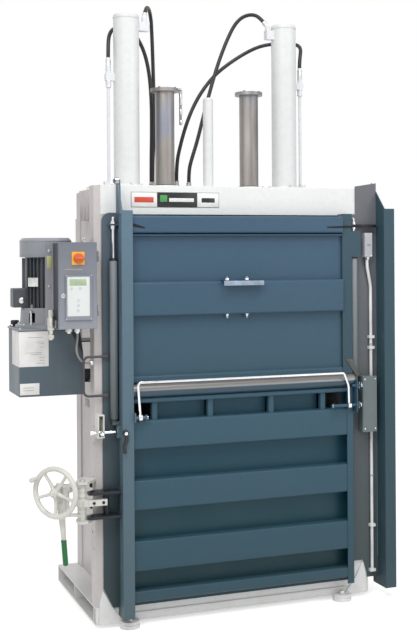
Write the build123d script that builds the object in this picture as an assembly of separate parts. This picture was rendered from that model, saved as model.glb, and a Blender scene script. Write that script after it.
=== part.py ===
from build123d import *
import os
from math import cos, pi, radians, sin, tan

# A vertical downstroke recycling baler, in millimetres. X runs to the right seen from the
# front, the front faces -Y, and the floor is z = 0 under the middle of the four feet.

# Frame
HALF_WIDTH = 720            # outer face of the front columns
HALF_DEPTH = 392            # front face of the columns, back face of the frame
CHAMBER_HALF = 600          # inner face of the side walls
WALL = 8
BASE_BOTTOM, BASE_TOP = 20, 102
FRAME_TOP = 2087.5          # top of the walls and columns, under the roof sheet
COLUMN_BACK = -313
FOOT_X, FOOT_Y, FOOT_RADIUS = 560, 412, 47.5
ANCHOR_HOLE = 9
REAR_WALL_FRONT, REAR_WALL_BACK = 340, 346

# Crosshead, cylinders and guides
HEAD_BOTTOM, HEAD_TOP, HEAD_HALF_DEPTH = 1934, 2093, 118
HEADER_BOTTOM = 1950
CYLINDER_X, BARREL_RADIUS, BORE_RADIUS, CYLINDER_TOP = 440, 66, 55, 2984
ROD_RADIUS = 35
GUIDE_X, GUIDE_RADIUS, GUIDE_TOP = 235, 50, 2596
PIPE_X, PIPE_RADIUS, PIPE_TOP = 535, 8, 2612
CENTRE_X, CENTRE_RADIUS = 4, 27
LIMIT_ROD_X = -148
HOSE_RADIUS = 10

# Platen, shown part of the way down
PLATEN_BOTTOM, PLATEN_TOP = 1430, 1540

# Door assembly, all of it in front of the columns
POST_FRONT = -485
CHANNEL_FRONT, CHANNEL_BACK = -440, -400
SKIN_FRONT, SKIN_BACK = -405, -399
RAIL_FRONT = -465
POST_BOTTOM = 60
HINGE_X, HINGE_Y, HINGE_HEIGHTS = 745, -360, (250, 1000, 1800)
HINGE_PIN = 9
LOWER_DOOR_TOP, SILL_TOP = 1085, 1149
OPENING_BOTTOM = 1150       # the loading door stands from here up
STRAP_SLOTS = (979, 1061)   # height of the row of strapping windows
STRAP_X = (-442, -160, 160, 442)
STRUT_X, STRUT_Y = 632, -421
LOADING_TOP = 1944
BAIL_Y, BAIL_Z, BAIL_EYES = -486, 997, (-525, 568)
ROLLER_Y, ROLLER_Z = -464, 2104

# Lock on the left column
LOCK_X, LOCK_Y = -795, -440
WHEEL_CENTRE = (-929, -480, 678)
NUT_RADIUS = 21.5           # clears the upper lug when the lever swings
SPINDLE = (0.731, 0.682, 0)
ACROSS = (0.682, -0.731, 0)
WHEEL_RADIUS = 113

# Hydraulic unit and control cabinet on the left side
TANK_LEFT, TANK_RIGHT, TANK_FRONT, TANK_BACK = -1052, -745, -285, -18
TANK_BOTTOM, TANK_TOP = 1095, 1405
MOTOR_X, MOTOR_Y = -896, -152
CABINET_LEFT, CABINET_RIGHT, CABINET_BOTTOM, CABINET_TOP = -905, -728, 1423, 1817

RUN = 0.05                  # radial clearance of a running fit


def block(x0, x1, y0, y1, z0, z1):
    middle = Pos((x0 + x1) / 2, (y0 + y1) / 2, (z0 + z1) / 2)
    return middle * Box(abs(x1 - x0), abs(y1 - y0), abs(z1 - z0))


def outline(*points):
    return make_face(Polyline(*points, close=True))


def bent(points, thick, bend):
    """Section of a sheet folded through these points."""
    return trace(FilletPolyline(*points, radius=bend), line_width=thick)


def along_x(face, x0, x1):
    """A section drawn in (Y, Z), drawn out along X."""
    return extrude(Plane.YZ.offset(x0) * face, x1 - x0)


def along_y(face, y0, y1):
    """A section drawn in (X, Z), drawn out along Y."""
    return extrude(Plane.XZ.offset(-y1) * face, y1 - y0)


def along_z(face, z0, z1):
    """A section drawn in (X, Y), drawn out along Z."""
    return extrude(Plane.XY.offset(z0) * face, z1 - z0)


def rod(x, y, z0, z1, radius):
    return Pos(x, y, (z0 + z1) / 2) * Cylinder(radius, z1 - z0)


def tube(x, y, z0, z1, outer, inner):
    return rod(x, y, z0, z1, outer) - rod(x, y, z0, z1, inner)


def rod_x(x0, x1, y, z, radius):
    return Pos((x0 + x1) / 2, y, z) * Rot(0, 90, 0) * Cylinder(radius, x1 - x0)


def rod_y(x, y0, y1, z, radius):
    return Pos(x, (y0 + y1) / 2, z) * Rot(90, 0, 0) * Cylinder(radius, y1 - y0)


def hexagon(x, y, z0, z1, radius):
    return along_z(Pos(x, y) * RegularPolygon(radius, 6), z0, z1)


def turned(x, y, profile):
    """A turned part: its half section in (radius, z), about an upright axis."""
    half = Plane.XZ * outline(*profile)
    return Pos(x, y, 0) * revolve(half, Axis.Z)


def other_side(shape):
    return mirror(shape, about=Plane.YZ)


def group(*shapes):
    """Separate solids that share one node."""
    return Compound([solid for shape in shapes for solid in shape.solids()])


def bar_path(points, radii, radius):
    """A round bar or tube bent through these points."""
    path = FilletPolyline(*points, radius=radii)
    section = Plane(origin=path @ 0, z_dir=path % 0) * Circle(radius)
    return sweep(section, path)


def cord_radii(points):
    """The largest arc that the two runs at each corner leave room for."""
    corners = [Vector(*point) for point in points]
    radii = []
    for before, corner, after in zip(corners, corners[1:], corners[2:]):
        first = corner - before
        second = after - corner
        turn = radians(first.get_angle(second))
        radii.append(0.45 * min(first.length, second.length) / tan(turn / 2))
    return radii


def cord(name, points, radius):
    """A hose or cable: straight runs joined by tangent arcs, with its figures printed."""
    radii = cord_radii(points)
    path = FilletPolyline(*points, radius=radii)
    section = Plane(origin=path @ 0, z_dir=path % 0) * Circle(radius)
    solid = sweep(section, path)
    expected = pi * radius ** 2 * path.length
    smallest = min(radii) / (2 * radius)
    print(f"{name}: length {path.length:.0f}, volume {solid.volume / expected:.4f} of expected,"
          f" tightest {smallest:.1f} diameters, radii {[round(r) for r in radii]}")
    return solid


# Frame

def base_frame():
    """Welded base: open channels all round with ribs, two bearers, and tabs for the feet."""
    sheet = 6
    low, high = BASE_BOTTOM + sheet / 2, BASE_TOP - sheet / 2
    web = CHAMBER_HALF + sheet / 2
    side = bent([(HALF_WIDTH, low), (web, low), (web, high), (HALF_WIDTH, high)], sheet, 9)
    frame = along_y(side, -HALF_DEPTH, HALF_DEPTH)
    for rib in (-352, 31, 388):
        frame += block(web, HALF_WIDTH, rib - 4, rib + 4, low, high)
    frame += other_side(frame)
    face = HALF_DEPTH - sheet / 2
    end = bent([(-330, low), (-face, low), (-face, high), (-330, high)], sheet, 9)
    front = along_x(end, -CHAMBER_HALF, CHAMBER_HALF)
    corner = along_y(RectangleRounded(114, 82, 20), -HALF_DEPTH, -HALF_DEPTH + sheet)
    corner = Pos(663, 0, (BASE_BOTTOM + BASE_TOP) / 2) * corner
    front += corner + other_side(corner)
    lip = along_x(outline((-392, 54), (-398, 56), (-398, 61), (-392, 66)), -590, 590)
    frame += front + lip + mirror(front, about=Plane.XZ)
    bearer = bent([(270, low), (270, high), (330, high), (330, low)], sheet, 9)
    bearer = along_y(bearer, -face, face)
    frame += bearer + other_side(bearer)
    gusset = outline((-705, 20), (-703, 122), (-686, 181), (-643, 101), (-580, 23), (-580, 20))
    gusset = along_y(gusset, -400, -HALF_DEPTH)
    frame += gusset + other_side(gusset)
    tab = Rectangle(90, 75) + Pos(0, -37.5) * Circle(45) - Pos(0, -37.5) * Circle(ANCHOR_HOLE)
    tab = along_z(Pos(FOOT_X, -FOOT_Y + 37.5) * tab, BASE_BOTTOM, 34)
    tabs = tab + other_side(tab)
    return frame + tabs + mirror(tabs, about=Plane.XZ)


def anchor_feet():
    """Four pads under the tabs, each with a hole for its floor anchor."""
    pad = turned(0, 0, [(ANCHOR_HOLE, 0), (FOOT_RADIUS, 0), (FOOT_RADIUS, 16), (43, 20),
                        (ANCHOR_HOLE, 20)])
    spots = [(x, y) for x in (-FOOT_X, FOOT_X) for y in (-FOOT_Y, FOOT_Y)]
    return group(*[Pos(x, y, 0) * pad for x, y in spots])


def side_frame():
    """Right side: the wall plate, the front column welded to it and the crosshead's end ribs."""
    outer = CHAMBER_HALF + WALL
    wall = block(CHAMBER_HALF, outer, -HALF_DEPTH, HALF_DEPTH, BASE_TOP, FRAME_TOP)
    width, depth = HALF_WIDTH - outer, COLUMN_BACK + HALF_DEPTH
    centre = Pos((outer + HALF_WIDTH) / 2, (COLUMN_BACK - HALF_DEPTH) / 2)
    column = RectangleRounded(width, depth, 6) - RectangleRounded(width - 10, depth - 10, 2)
    side = wall + along_z(centre * column, BASE_TOP, FRAME_TOP)
    for rib in (-104, -34, 40, 112):
        side += block(outer, 660, rib - 6, rib + 6, HEAD_BOTTOM, FRAME_TOP)
    side += block(outer, 614, 300, HALF_DEPTH, BASE_TOP, 1950)
    for y, z in ((-371, 1200), (-377, 952), (-373, 871), (-343, 450), (-367, 376)):
        side -= rod_x(HALF_WIDTH - 8, HALF_WIDTH + 2, y, z, 7)
    return side


def rear_wall():
    """Back plate of the chamber with folded stiffeners across it."""
    wall = block(-CHAMBER_HALF, CHAMBER_HALF, REAR_WALL_FRONT, REAR_WALL_BACK, BASE_TOP, 2085)
    back = HALF_DEPTH - 2
    for height in (260, 610, 960, 1310, 1660, 1950):
        hat = bent([(REAR_WALL_BACK, height - 60), (back, height - 45), (back, height + 45),
                    (REAR_WALL_BACK, height + 60)], 4, 8)
        wall += along_x(hat, -CHAMBER_HALF, CHAMBER_HALF)
    return wall


def strap_channels(half_width, y0, y1, z0, z1):
    """Cutters for the channels that the strapping runs through."""
    cutter = block(-15, 15, y0, y1, z0, z1)
    return [Pos(x, 0, 0) * cutter for x in STRAP_X if abs(x) < half_width]


def bale_floor():
    floor = block(-CHAMBER_HALF, CHAMBER_HALF, -390, REAR_WALL_FRONT, BASE_TOP, 118)
    for cutter in strap_channels(CHAMBER_HALF, -400, 400, 108, 120):
        floor -= cutter
    return floor


def crosshead():
    """Deep box beam across the top, bored for the cylinders and guides, with the roof sheet."""
    depth = 2 * HEAD_HALF_DEPTH
    height = HEAD_TOP - HEAD_BOTTOM
    section = Rectangle(depth, height) - Rectangle(depth - 20, height - 20)
    beam = along_x(Pos(0, (HEAD_TOP + HEAD_BOTTOM) / 2) * section, -CHAMBER_HALF, CHAMBER_HALF)
    for x in (535, 340, 130):
        web = block(x - 6, x + 6, -112, 112, HEAD_BOTTOM + 2, HEAD_TOP - 2)
        beam += web + other_side(web)
    beam += block(-CHAMBER_HALF, CHAMBER_HALF, HEAD_HALF_DEPTH, HALF_DEPTH, 2085, HEAD_TOP)
    for x, radius in ((CYLINDER_X, BARREL_RADIUS + 0.3), (GUIDE_X, 62.1)):
        hole = rod(x, 0, HEAD_BOTTOM - 5, HEAD_TOP + 5, radius)
        beam -= hole + other_side(hole)
    beam -= rod(CENTRE_X, 0, HEAD_BOTTOM - 5, HEAD_TOP + 5, CENTRE_RADIUS + 3)
    beam -= rod(LIMIT_ROD_X, 0, HEAD_TOP - 12, HEAD_TOP + 5, 14)
    return beam


def header_cover():
    """Folded sheet over the front of the crosshead: lower lip, face and roof."""
    face = -HALF_DEPTH - 1.25
    fold = bent([(-372, HEADER_BOTTOM + 1.25), (face, HEADER_BOTTOM + 1.25),
                 (face, FRAME_TOP + 1.3), (-HEAD_HALF_DEPTH, FRAME_TOP + 1.3)], 2.5, 1.25)
    cover = along_x(fold, -686, 680)
    corner = block(CHAMBER_HALF - 1, 700, -HALF_DEPTH, -360, 1940, 2000)
    return cover - corner - other_side(corner)


def guide_bushes():
    inner = GUIDE_RADIUS + RUN
    bush = turned(GUIDE_X, 0, [(inner, 1944), (62, 1944), (62, HEAD_TOP), (80, HEAD_TOP),
                               (80, 2107), (75, 2112), (inner, 2112)])
    return group(bush, other_side(bush))


# Cylinders, pipes and hoses

def cylinder_barrels():
    """Two hydraulic barrels, closed at the top, standing on flanges on the crosshead."""
    profile = [(BORE_RADIUS, HEADER_BOTTOM), (BARREL_RADIUS, HEADER_BOTTOM),
               (BARREL_RADIUS, HEAD_TOP), (92, HEAD_TOP), (92, 2111), (BARREL_RADIUS, 2111),
               (BARREL_RADIUS, CYLINDER_TOP - 6), (BARREL_RADIUS - 6, CYLINDER_TOP),
               (0, CYLINDER_TOP), (0, 2954), (BORE_RADIUS, 2954)]
    barrel = turned(CYLINDER_X, 0, profile)
    return group(barrel, other_side(barrel))


def cylinder_glands():
    """Gland nuts closing the lower ends of the barrels round the piston rods."""
    inner = ROD_RADIUS + RUN
    profile = [(inner, 1936), (62, 1936), (BARREL_RADIUS, 1940), (BARREL_RADIUS, HEADER_BOTTOM),
               (54.9, HEADER_BOTTOM), (54.9, 2010), (inner, 2010)]
    gland = turned(CYLINDER_X, 0, profile)
    return group(gland, other_side(gland))


def crimp(route, length, radius):
    """Crimped sleeve that ends square on the hose's first run."""
    start, second = Vector(*route[0]), Vector(*route[1])
    direction = (second - start).normalized()
    return extrude(Plane(origin=start - direction * length, z_dir=direction) * Circle(radius), length)


def pressure_pipes():
    """Rigid pipes with nuts and clamps beside the barrels, and the ports at the barrel tops."""
    barrel = rod(CYLINDER_X, 0, 2000, 3000, BARREL_RADIUS)
    foot = block(PIPE_X - 2, PIPE_X + 25, -17, 17, HEAD_TOP, 2130)
    pipe = rod(PIPE_X, 0, 2130, PIPE_TOP, PIPE_RADIUS)
    nut = hexagon(PIPE_X, 0, PIPE_TOP, 2642, 15)
    clamp = block(CYLINDER_X + 40, PIPE_X + 16, -14, 14, 2642, 2680) - barrel
    upper_nut = hexagon(PIPE_X, 0, 2680, 2704, 15)
    sleeve = turned(PIPE_X, 0, [(0, 2704), (12, 2704), (13, 2710), (13, 2750), (11, 2759),
                                (0, 2759)])
    right = [foot, pipe, nut, clamp, upper_nut, sleeve]
    left = [other_side(piece) for piece in right]
    port_right = block(335, 380, -20, 20, 2903, 2950) - barrel
    port_left = block(-380, -320, -20, 20, 2904, 2950) - other_side(barrel)
    ends = []
    for x, route in ((346, HOSE_RIGHT_PORT), (-344, HOSE_LEFT_PORT)):
        nut = hexagon(x, 0, 2950, 2972, 15)
        ends.append(nut + Pos(x, 0, 2972) * Sphere(13) + crimp(route, 34, 12))
    return group(*right, *left, port_right, port_left, *ends)


# Each hose leaves a fitting upwards, loops over behind the barrels and drops to the manifold.
HOSE_LEFT_PIPE = [(-535, 0, 2759), (-535, 0, 2814), (-521, 36, 2882), (-480, 89, 2931),
                  (-414, 126, 2948), (-346, 140, 2912), (-301, 139, 2832), (-275, 134, 2720),
                  (-264, 130, 2565), (-265, 128, 2390), (-268, 130, 2250), (-268, 130, 2140)]
HOSE_LEFT_PORT = [(-333.6, 19.2, 2998), (-320, 44.5, 3032), (-295, 91, 3051), (-269, 138, 3040),
                  (-250, 173, 2998), (-242, 188, 2930), (-238, 190, 2840), (-234, 191, 2690),
                  (-231, 189, 2520), (-236, 188, 2350), (-241, 190, 2235), (-241, 190, 2140)]
HOSE_RIGHT_PORT = [(332.9, 17.5, 2998), (315.6, 40.6, 3032.4), (288, 80, 3051), (250, 114, 3042),
                   (214, 134, 3004), (178, 141, 2934), (140, 141, 2846), (103, 138, 2748),
                   (64, 134, 2625), (24, 128, 2490), (-12, 124, 2360), (-44, 121, 2268),
                   (-62, 120, 2205), (-62, 120, 2140)]
HOSE_RIGHT_PIPE = [(535, 0, 2759), (535, 0, 2788), (543, 8, 2828), (561, 37, 2874),
                   (564, 89, 2904), (533, 140, 2919), (469, 174, 2920), (378, 188, 2902),
                   (288, 192, 2856), (200, 193, 2798), (120, 191, 2735), (51, 188, 2655),
                   (-8, 184, 2562), (-54, 180, 2456), (-88, 176, 2348), (-114, 171, 2242),
                   (-114, 171, 2150)]
HOSE_ENDS = (HOSE_LEFT_PIPE[-1], HOSE_LEFT_PORT[-1], HOSE_RIGHT_PORT[-1], HOSE_RIGHT_PIPE[-1])


def hose_manifold():
    """Valve block on the roof with the crimped end of each hose screwed into it."""
    body = block(-305, -30, 100, 208, HEAD_TOP, 2114)
    body = chamfer(body.edges().group_by(Axis.Z)[-1], 3)
    ends = []
    for x, y, z in HOSE_ENDS:
        profile = [(0, 2114), (15, 2114), (15, 2124), (13, 2126), (13, z), (0, z)]
        ends.append(turned(x, y, profile))
    return group(body, *ends)


# Hydraulic unit

def tank_corner(shape, inset):
    """Cuts the slanted front corner of the tank, this far inside the outer face."""
    normal = Vector(8400, -8040, 4690).normalized()
    corner = Vector(-812, TANK_FRONT, TANK_TOP) - normal * inset
    return split(shape, bisect_by=Plane(origin=corner, z_dir=normal), keep=Keep.BOTTOM)


def oil_tank():
    """Open-topped sheet tank with a slanted front corner, and arms to the side wall."""
    sheet = 4
    outer = block(TANK_LEFT, TANK_RIGHT, TANK_FRONT, TANK_BACK, TANK_BOTTOM, TANK_TOP)
    inner = block(TANK_LEFT + sheet, TANK_RIGHT - sheet, TANK_FRONT + sheet, TANK_BACK - sheet,
                  TANK_BOTTOM + sheet, TANK_TOP + 10)
    tank = tank_corner(outer, 0) - tank_corner(inner, sheet)
    wall = -CHAMBER_HALF - WALL
    arm = bent([(-242, 1150), (-210, 1150), (-210, 1190)], 6, 8)
    for y in (0, 170):
        tank += along_x(Pos(y, 0) * arm, TANK_RIGHT, wall)
    tank += block(TANK_RIGHT, wall, -240, -50, 1340, 1346)
    return tank


def tank_lid():
    """Lid with its rim over the tank and a drain-back ring for the pump."""
    lid = block(TANK_LEFT - 5, TANK_RIGHT + 5, TANK_FRONT - 5, TANK_BACK + 5, TANK_TOP, 1413)
    lid = tank_corner(lid, -4)
    return lid - rod(MOTOR_X, MOTOR_Y, 1400, 1420, 62)


def pump():
    """Gear pump hanging from the motor flange into the tank, with its suction pipe."""
    body = turned(MOTOR_X, MOTOR_Y, [(0, 1250), (48, 1250), (52, 1256), (52, 1400), (60, 1400),
                                     (60, 1413), (16, 1413), (16, 1300), (0, 1300)])
    suction = rod(MOTOR_X + 30, MOTOR_Y, 1130, 1250, 12)
    return body + suction


def motor_bell():
    """Cast bell between the tank lid and the motor, with four windows round the coupling."""
    profile = [(16, 1413), (147, 1413), (147, 1427), (124, 1433), (120, 1500), (118, 1509),
               (15 + RUN, 1509), (15 + RUN, 1494), (106, 1494), (108, 1425), (16, 1425)]
    bell = turned(MOTOR_X, MOTOR_Y, profile)
    window = block(80, 140, -17, 17, 1440, 1486)
    for turn in range(45, 360, 90):
        bell -= Pos(MOTOR_X, MOTOR_Y, 0) * Rot(0, 0, turn) * window
    return bell


def motor_housing():
    """Finned stator housing with the terminal box cast on its left side."""
    bottom, top = 1509, 1750
    profile = [(66, bottom), (98, bottom), (98, top), (12 + RUN, top), (12 + RUN, 1738),
               (66, 1738)]
    housing = turned(MOTOR_X, MOTOR_Y, profile)
    fin = block(96, 119, -1.6, 1.6, bottom + 3, top - 4)
    fins = [Rot(0, 0, turn) * fin for turn in range(0, 360, 10) if abs(turn - 180) > 25]
    housing += [Pos(MOTOR_X, MOTOR_Y, 0) * piece for piece in fins]
    box = block(-1058, -985, MOTOR_Y - 42, MOTOR_Y + 42, bottom + 2, 1602)
    box = fillet(box.edges().filter_by(Axis.X), 6)
    cover = block(-1061, -1058, MOTOR_Y - 38, MOTOR_Y + 38, bottom + 6, 1598)
    hollow = rod(MOTOR_X, MOTOR_Y, bottom - 1, top + 1, 90)
    return housing + (box - hollow) + cover


def motor_cowl():
    """Pressed fan cowl with a grille of slots in its top."""
    profile = [(92, 1750), (124, 1750), (124, 1830), (112, 1842), (0, 1842), (0, 1840),
               (111, 1840), (122, 1829), (122, 1752), (92, 1752)]
    cowl = turned(MOTOR_X, MOTOR_Y, profile)
    slot = block(34, 100, -3, 3, 1838, 1845)
    for step in range(20):
        cowl -= Pos(MOTOR_X, MOTOR_Y, 0) * Rot(0, 0, 18 * step) * slot
    return cowl


def motor_rotor():
    """Rotor, shaft and the fan under the cowl."""
    shaft = turned(MOTOR_X, MOTOR_Y, [(0, 1310), (15, 1310), (15, 1530), (63, 1530), (63, 1720),
                                      (15, 1720), (15, 1735), (12, 1735), (12, 1775),
                                      (100, 1775), (100, 1778), (20, 1782), (20, 1800), (0, 1800)])
    blade = block(24, 98, -1.5, 1.5, 1776, 1815)
    for step in range(8):
        shaft += Pos(MOTOR_X, MOTOR_Y, 0) * Rot(0, 0, 45 * step) * blade
    return shaft


# Control cabinet

def cabinet_body():
    """Sheet box, open at the front, with its back plate and two spacers to the column."""
    front, back, sheet = -465, -351, 2.5
    outer = block(CABINET_LEFT, CABINET_RIGHT, front, back, CABINET_BOTTOM, CABINET_TOP)
    inner = block(CABINET_LEFT + sheet, CABINET_RIGHT - sheet, front - 5, back - sheet,
                  CABINET_BOTTOM + sheet, CABINET_TOP - sheet)
    body = fillet(outer.edges().filter_by(Axis.Y), 3) - inner
    body += block(-941, CABINET_LEFT + 1, -353, -348, 1432, 1812)
    for z in (1490, 1740):
        body += block(CABINET_RIGHT, -HALF_WIDTH, -388, -356, z - 20, z + 20)
        knuckle = tube(-722, -478, z + 12, z + 36, 6, 3 + RUN)
        body += knuckle + block(CABINET_RIGHT, -725.2, -478, -450, z + 12, z + 36)
    return body


def cabinet_door():
    """Door with turned edges, a frame for the keypad and a lock, on two small hinges."""
    outer = block(-907, -730, -490, -466, 1421, 1819)
    door = fillet(outer.edges().filter_by(Axis.Y), 4)
    door -= block(-904, -733, -487.5, -465, 1424, 1816)
    door += block(-879, -754, -496, -490, 1462, 1670) - block(-871, -765, -497, -490, 1480, 1662)
    door += rod_y(-887, -493, -490, 1574, 9)
    for z in (1490, 1740):
        knuckle = rod(-722, -478, z - 12, z + 11.7, 6) + rod(-722, -478, z + 11, z + 38, 3)
        door += knuckle + block(-731, -722, -481, -475, z - 12, z + 11.7)
    return door


def control_plates():
    """Foil keypad in its frame, and the square plate behind the main switch."""
    keypad = block(-870.9, -765.1, -494, -490, 1480.1, 1661.9)
    plate = block(-848, -789, -493, -490, 1715, 1775)
    return group(keypad, plate - rod_y(-817, -494, -489, 1745, 8.5))


def switch_knob():
    """Main switch: a round knob with a raised bar, on its short shaft."""
    knob = rod_y(-817, -505, -493.3, 1745, 24) + block(-841, -793, -515, -504, 1739, 1751)
    return knob + rod_y(-817, -494, -490.1, 1745, 8)


def cable_glands():
    """Glands under the cabinet and on the column, and the connector at the cabinet's side."""
    nuts = []
    for x in (-842, -802):
        nuts.append(turned(x, -405, [(0, 1396), (9, 1396), (11, 1402), (15, 1404), (15, 1423),
                                     (0, 1423)]))
    column_gland = rod_x(-733, -HALF_WIDTH, -366, 1250, 12)
    socket = turned(-925, -400, [(0, 1368), (10, 1368), (16, 1376), (16, 1392), (10, 1398),
                                 (10, 1410), (18, 1414), (18, 1470), (12, 1476), (12, 1508),
                                 (0, 1508)])
    socket += block(-925, CABINET_LEFT, -412, -388, 1425, 1460)
    return group(*nuts, column_gland, socket)


CABLE_ROUTE = [(-802, -405, 1396), (-802, -405, 1366), (-808, -398, 1322), (-794, -384, 1280),
               (-763, -366, 1250), (-733, -366, 1250)]


# Platen and what moves with it

def platen():
    """Welded press plate: a channelled face, two box beams and bosses for rods and guides."""
    face = block(-588, 588, -378, 334, PLATEN_BOTTOM, PLATEN_BOTTOM + 24)
    for cutter in strap_channels(588, -400, 400, PLATEN_BOTTOM - 2, PLATEN_BOTTOM + 12):
        face -= cutter
    ring = Rectangle(90, 86) - Rectangle(74, 70)
    beam = along_x(Pos(-115, PLATEN_BOTTOM + 67) * ring, -575, 575)
    plate = face + beam + mirror(beam, about=Plane.XZ)
    for x in (-575, -340, -90, 98, 340, 575):
        plate += block(x - 5, x + 5, -360, 320, PLATEN_BOTTOM + 20, PLATEN_BOTTOM + 80)
    for x, radius in ((CYLINDER_X, ROD_RADIUS), (GUIDE_X, GUIDE_RADIUS)):
        boss = rod(x, 0, PLATEN_BOTTOM + 22, PLATEN_TOP, radius + 16)
        bore = rod(x, 0, PLATEN_BOTTOM + 24, PLATEN_TOP + 5, radius + 0.1)
        plate = plate + boss + other_side(boss) - bore - other_side(bore)
    return plate


def piston_rods():
    low = PLATEN_BOTTOM + 24
    profile = [(0, low), (ROD_RADIUS, low), (ROD_RADIUS, 2500), (BORE_RADIUS - RUN, 2500),
               (BORE_RADIUS - RUN, 2560), (0, 2560)]
    piston = turned(CYLINDER_X, 0, profile)
    return group(piston, other_side(piston))


def guide_tubes():
    """Guide tubes with flanged tops; the left one carries the rod of the height switch."""
    low = PLATEN_BOTTOM + 24
    inner = GUIDE_RADIUS - 6
    profile = [(inner, low), (GUIDE_RADIUS, low), (GUIDE_RADIUS, GUIDE_TOP), (73, GUIDE_TOP),
               (73, 2614), (inner, 2614)]
    right = turned(GUIDE_X, 0, profile)
    left = other_side(right) + block(-170, LIMIT_ROD_X, -7, 7, 2600, 2611)
    left += rod(LIMIT_ROD_X, 0, 2430, 2611, 7)
    return group(left, right)


def centre_tube():
    profile = [(20, PLATEN_BOTTOM + 24), (CENTRE_RADIUS, PLATEN_BOTTOM + 24),
               (CENTRE_RADIUS, 2568), (22, 2576), (0, 2576), (0, 2572), (20, 2568)]
    return turned(CENTRE_X, 0, profile)


# Main door: the two posts and the lower door swing as one

def left_post():
    """Box post with its guide flange, keeper, latch socket, roller bracket and bail pivot."""
    box = Rectangle(55, 45) - Rectangle(47, 37)
    post = along_z(Pos(-582.5, -462.5) * box, POST_BOTTOM, 1967)
    post += block(-610, -555, POST_FRONT, CHANNEL_FRONT, 1963, 1967)
    web = outline((POST_FRONT, POST_BOTTOM), (-401, POST_BOTTOM), (-401, 190), (-395, 190),
                  (-395, 1958), (-400, 2124),
                  (-404, 2124), (POST_FRONT, 1967))
    post += along_x(web, -610, -604) - block(-612, -602, -436, -406, 1885, 2200)
    flange = outline((-636, 97), (-560, 97), (-560, 1958), (-682, 1958), (-682, 190))
    flange = fillet(flange.vertices().sort_by(Axis.X)[:2].sort_by(Axis.Y)[-1:], 40)
    post += along_y(flange, CHANNEL_BACK, CHANNEL_BACK + 5)
    keeper = outline((-610, -470), (-610, CHANNEL_BACK), (-735, CHANNEL_BACK), (-768, -425),
                     (-768, -458), (-750, -470))
    for z in (535, 648):
        post += along_z(keeper, z, z + 12)
    post += rod(-672, -430, 530, 665, 10)
    socket = block(-625, -610, -450, -410, 902, 961)
    post += socket - rod_x(-630, -605, -430, 930, 8.4)
    post += rod_y(-598, -503, POST_FRONT, 930, 6)
    pivot = block(-555, -549, -502, -474, 977, 1022)
    pivot += rod_x(-549, -496, BAIL_Y, BAIL_Z, 8) + rod_x(-500, -492, BAIL_Y, BAIL_Z, 13)
    for foot in (-480, -446):
        bar = outline((foot - 6, 1950), (foot + 6, 1950), (ROLLER_Y + 6, ROLLER_Z + 6),
                      (ROLLER_Y - 6, ROLLER_Z + 6))
        post += along_x(bar, -616, -610)
    post += rod_x(-642, -612, ROLLER_Y, ROLLER_Z, 6) + rod_x(-642, -637, ROLLER_Y, ROLLER_Z, 9)
    return group(post, pivot)


def top_roller():
    """Small guide roller on its pin, outside the top of the left post."""
    roller = rod_x(-636, -618, ROLLER_Y, ROLLER_Z, 17)
    return roller - rod_x(-640, -610, ROLLER_Y, ROLLER_Z, 6 + RUN)


def right_post():
    """Outer post, the wide plate between it and the opening, and the right guide rail."""
    box = Rectangle(60, 85) - Rectangle(52, 77)
    post = along_z(Pos(803, -442.5) * box, 55, 1984)
    post += block(773, 833, POST_FRONT, CHANNEL_BACK, 1980, 1984)
    web = outline((POST_FRONT, 55), (-352, 55), (-352, 2122), (POST_FRONT, 1984))
    post += along_x(web, 773, 779)
    plate = outline((712, 97), (775, 97), (775, 2118), (655, 2100), (655, 1958), (560, 1958),
                    (560, OPENING_BOTTOM), (606, OPENING_BOTTOM), (606, 188), (690, 188),
                    (708, 126))
    post += along_y(plate, CHANNEL_BACK, CHANNEL_BACK + 5)
    rail = outline((610, CHANNEL_BACK), (604, CHANNEL_BACK), (604, CHANNEL_FRONT),
                   (556, CHANNEL_FRONT), (556, CHANNEL_FRONT - 6), (610, CHANNEL_FRONT - 6))
    rail = along_z(rail, OPENING_BOTTOM, 1958)
    post += rail - block(602, 612, -436, -406, 1885, 1960)
    return post + block(609, 662, -446, -440.5, 1739, 1872)


def hat_rail(bottom, top, front, back):
    """Section of a folded rail, open towards the skin, in (Y, Z)."""
    return bent([(back, bottom + 2), (front + 2, bottom + 2), (front + 2, top - 2),
                 (back, top - 2)], 4, 8)


def lower_door():
    """Welded lower door: skin, folded rails, a row of strapping windows and an end channel.

    The outer windows go right through; the others are recesses, with slits behind the dividers.
    """
    low, high = STRAP_SLOTS
    door = block(-555, 606, SKIN_FRONT, SKIN_BACK, 97, LOWER_DOOR_TOP)
    for cutter in strap_channels(CHAMBER_HALF, SKIN_FRONT - 1, SKIN_BACK + 1, low, high):
        door -= cutter
    for left, right in ((-543, STRAP_X[0]), (STRAP_X[-1], 567)):
        door -= block(left, right, SKIN_FRONT - 1, SKIN_BACK + 1, low, high)
    rails = ((127, 179), (271, 414), (558, 699), (844, low), (high, LOWER_DOOR_TOP))
    for bottom, top in rails:
        door += along_x(hat_rail(bottom, top, RAIL_FRONT, SKIN_FRONT + 1), -555, 602)
    for x in STRAP_X:
        fold = bent([(x - 13, -424), (x - 13, -448), (x + 13, -448), (x + 13, -424)], 4, 6)
        door += along_z(fold, low - 2, high + 2)
    end = bent([(567, -465), (603, -465), (603, SKIN_FRONT + 1)], 6, 8)
    door += along_z(end, 97, LOWER_DOOR_TOP)
    door += block(606, 612, -500, -402, 962, 1125)
    door += rod_x(476, 632, BAIL_Y, BAIL_Z, 8)
    door += rod_x(476, 484, BAIL_Y, BAIL_Z, 13) + rod_x(612, 622, BAIL_Y, BAIL_Z, 13)
    return door + rod_x(587, 636, -484, 1094, 8) + rod_x(612, 622, -484, 1094, 13)


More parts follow.
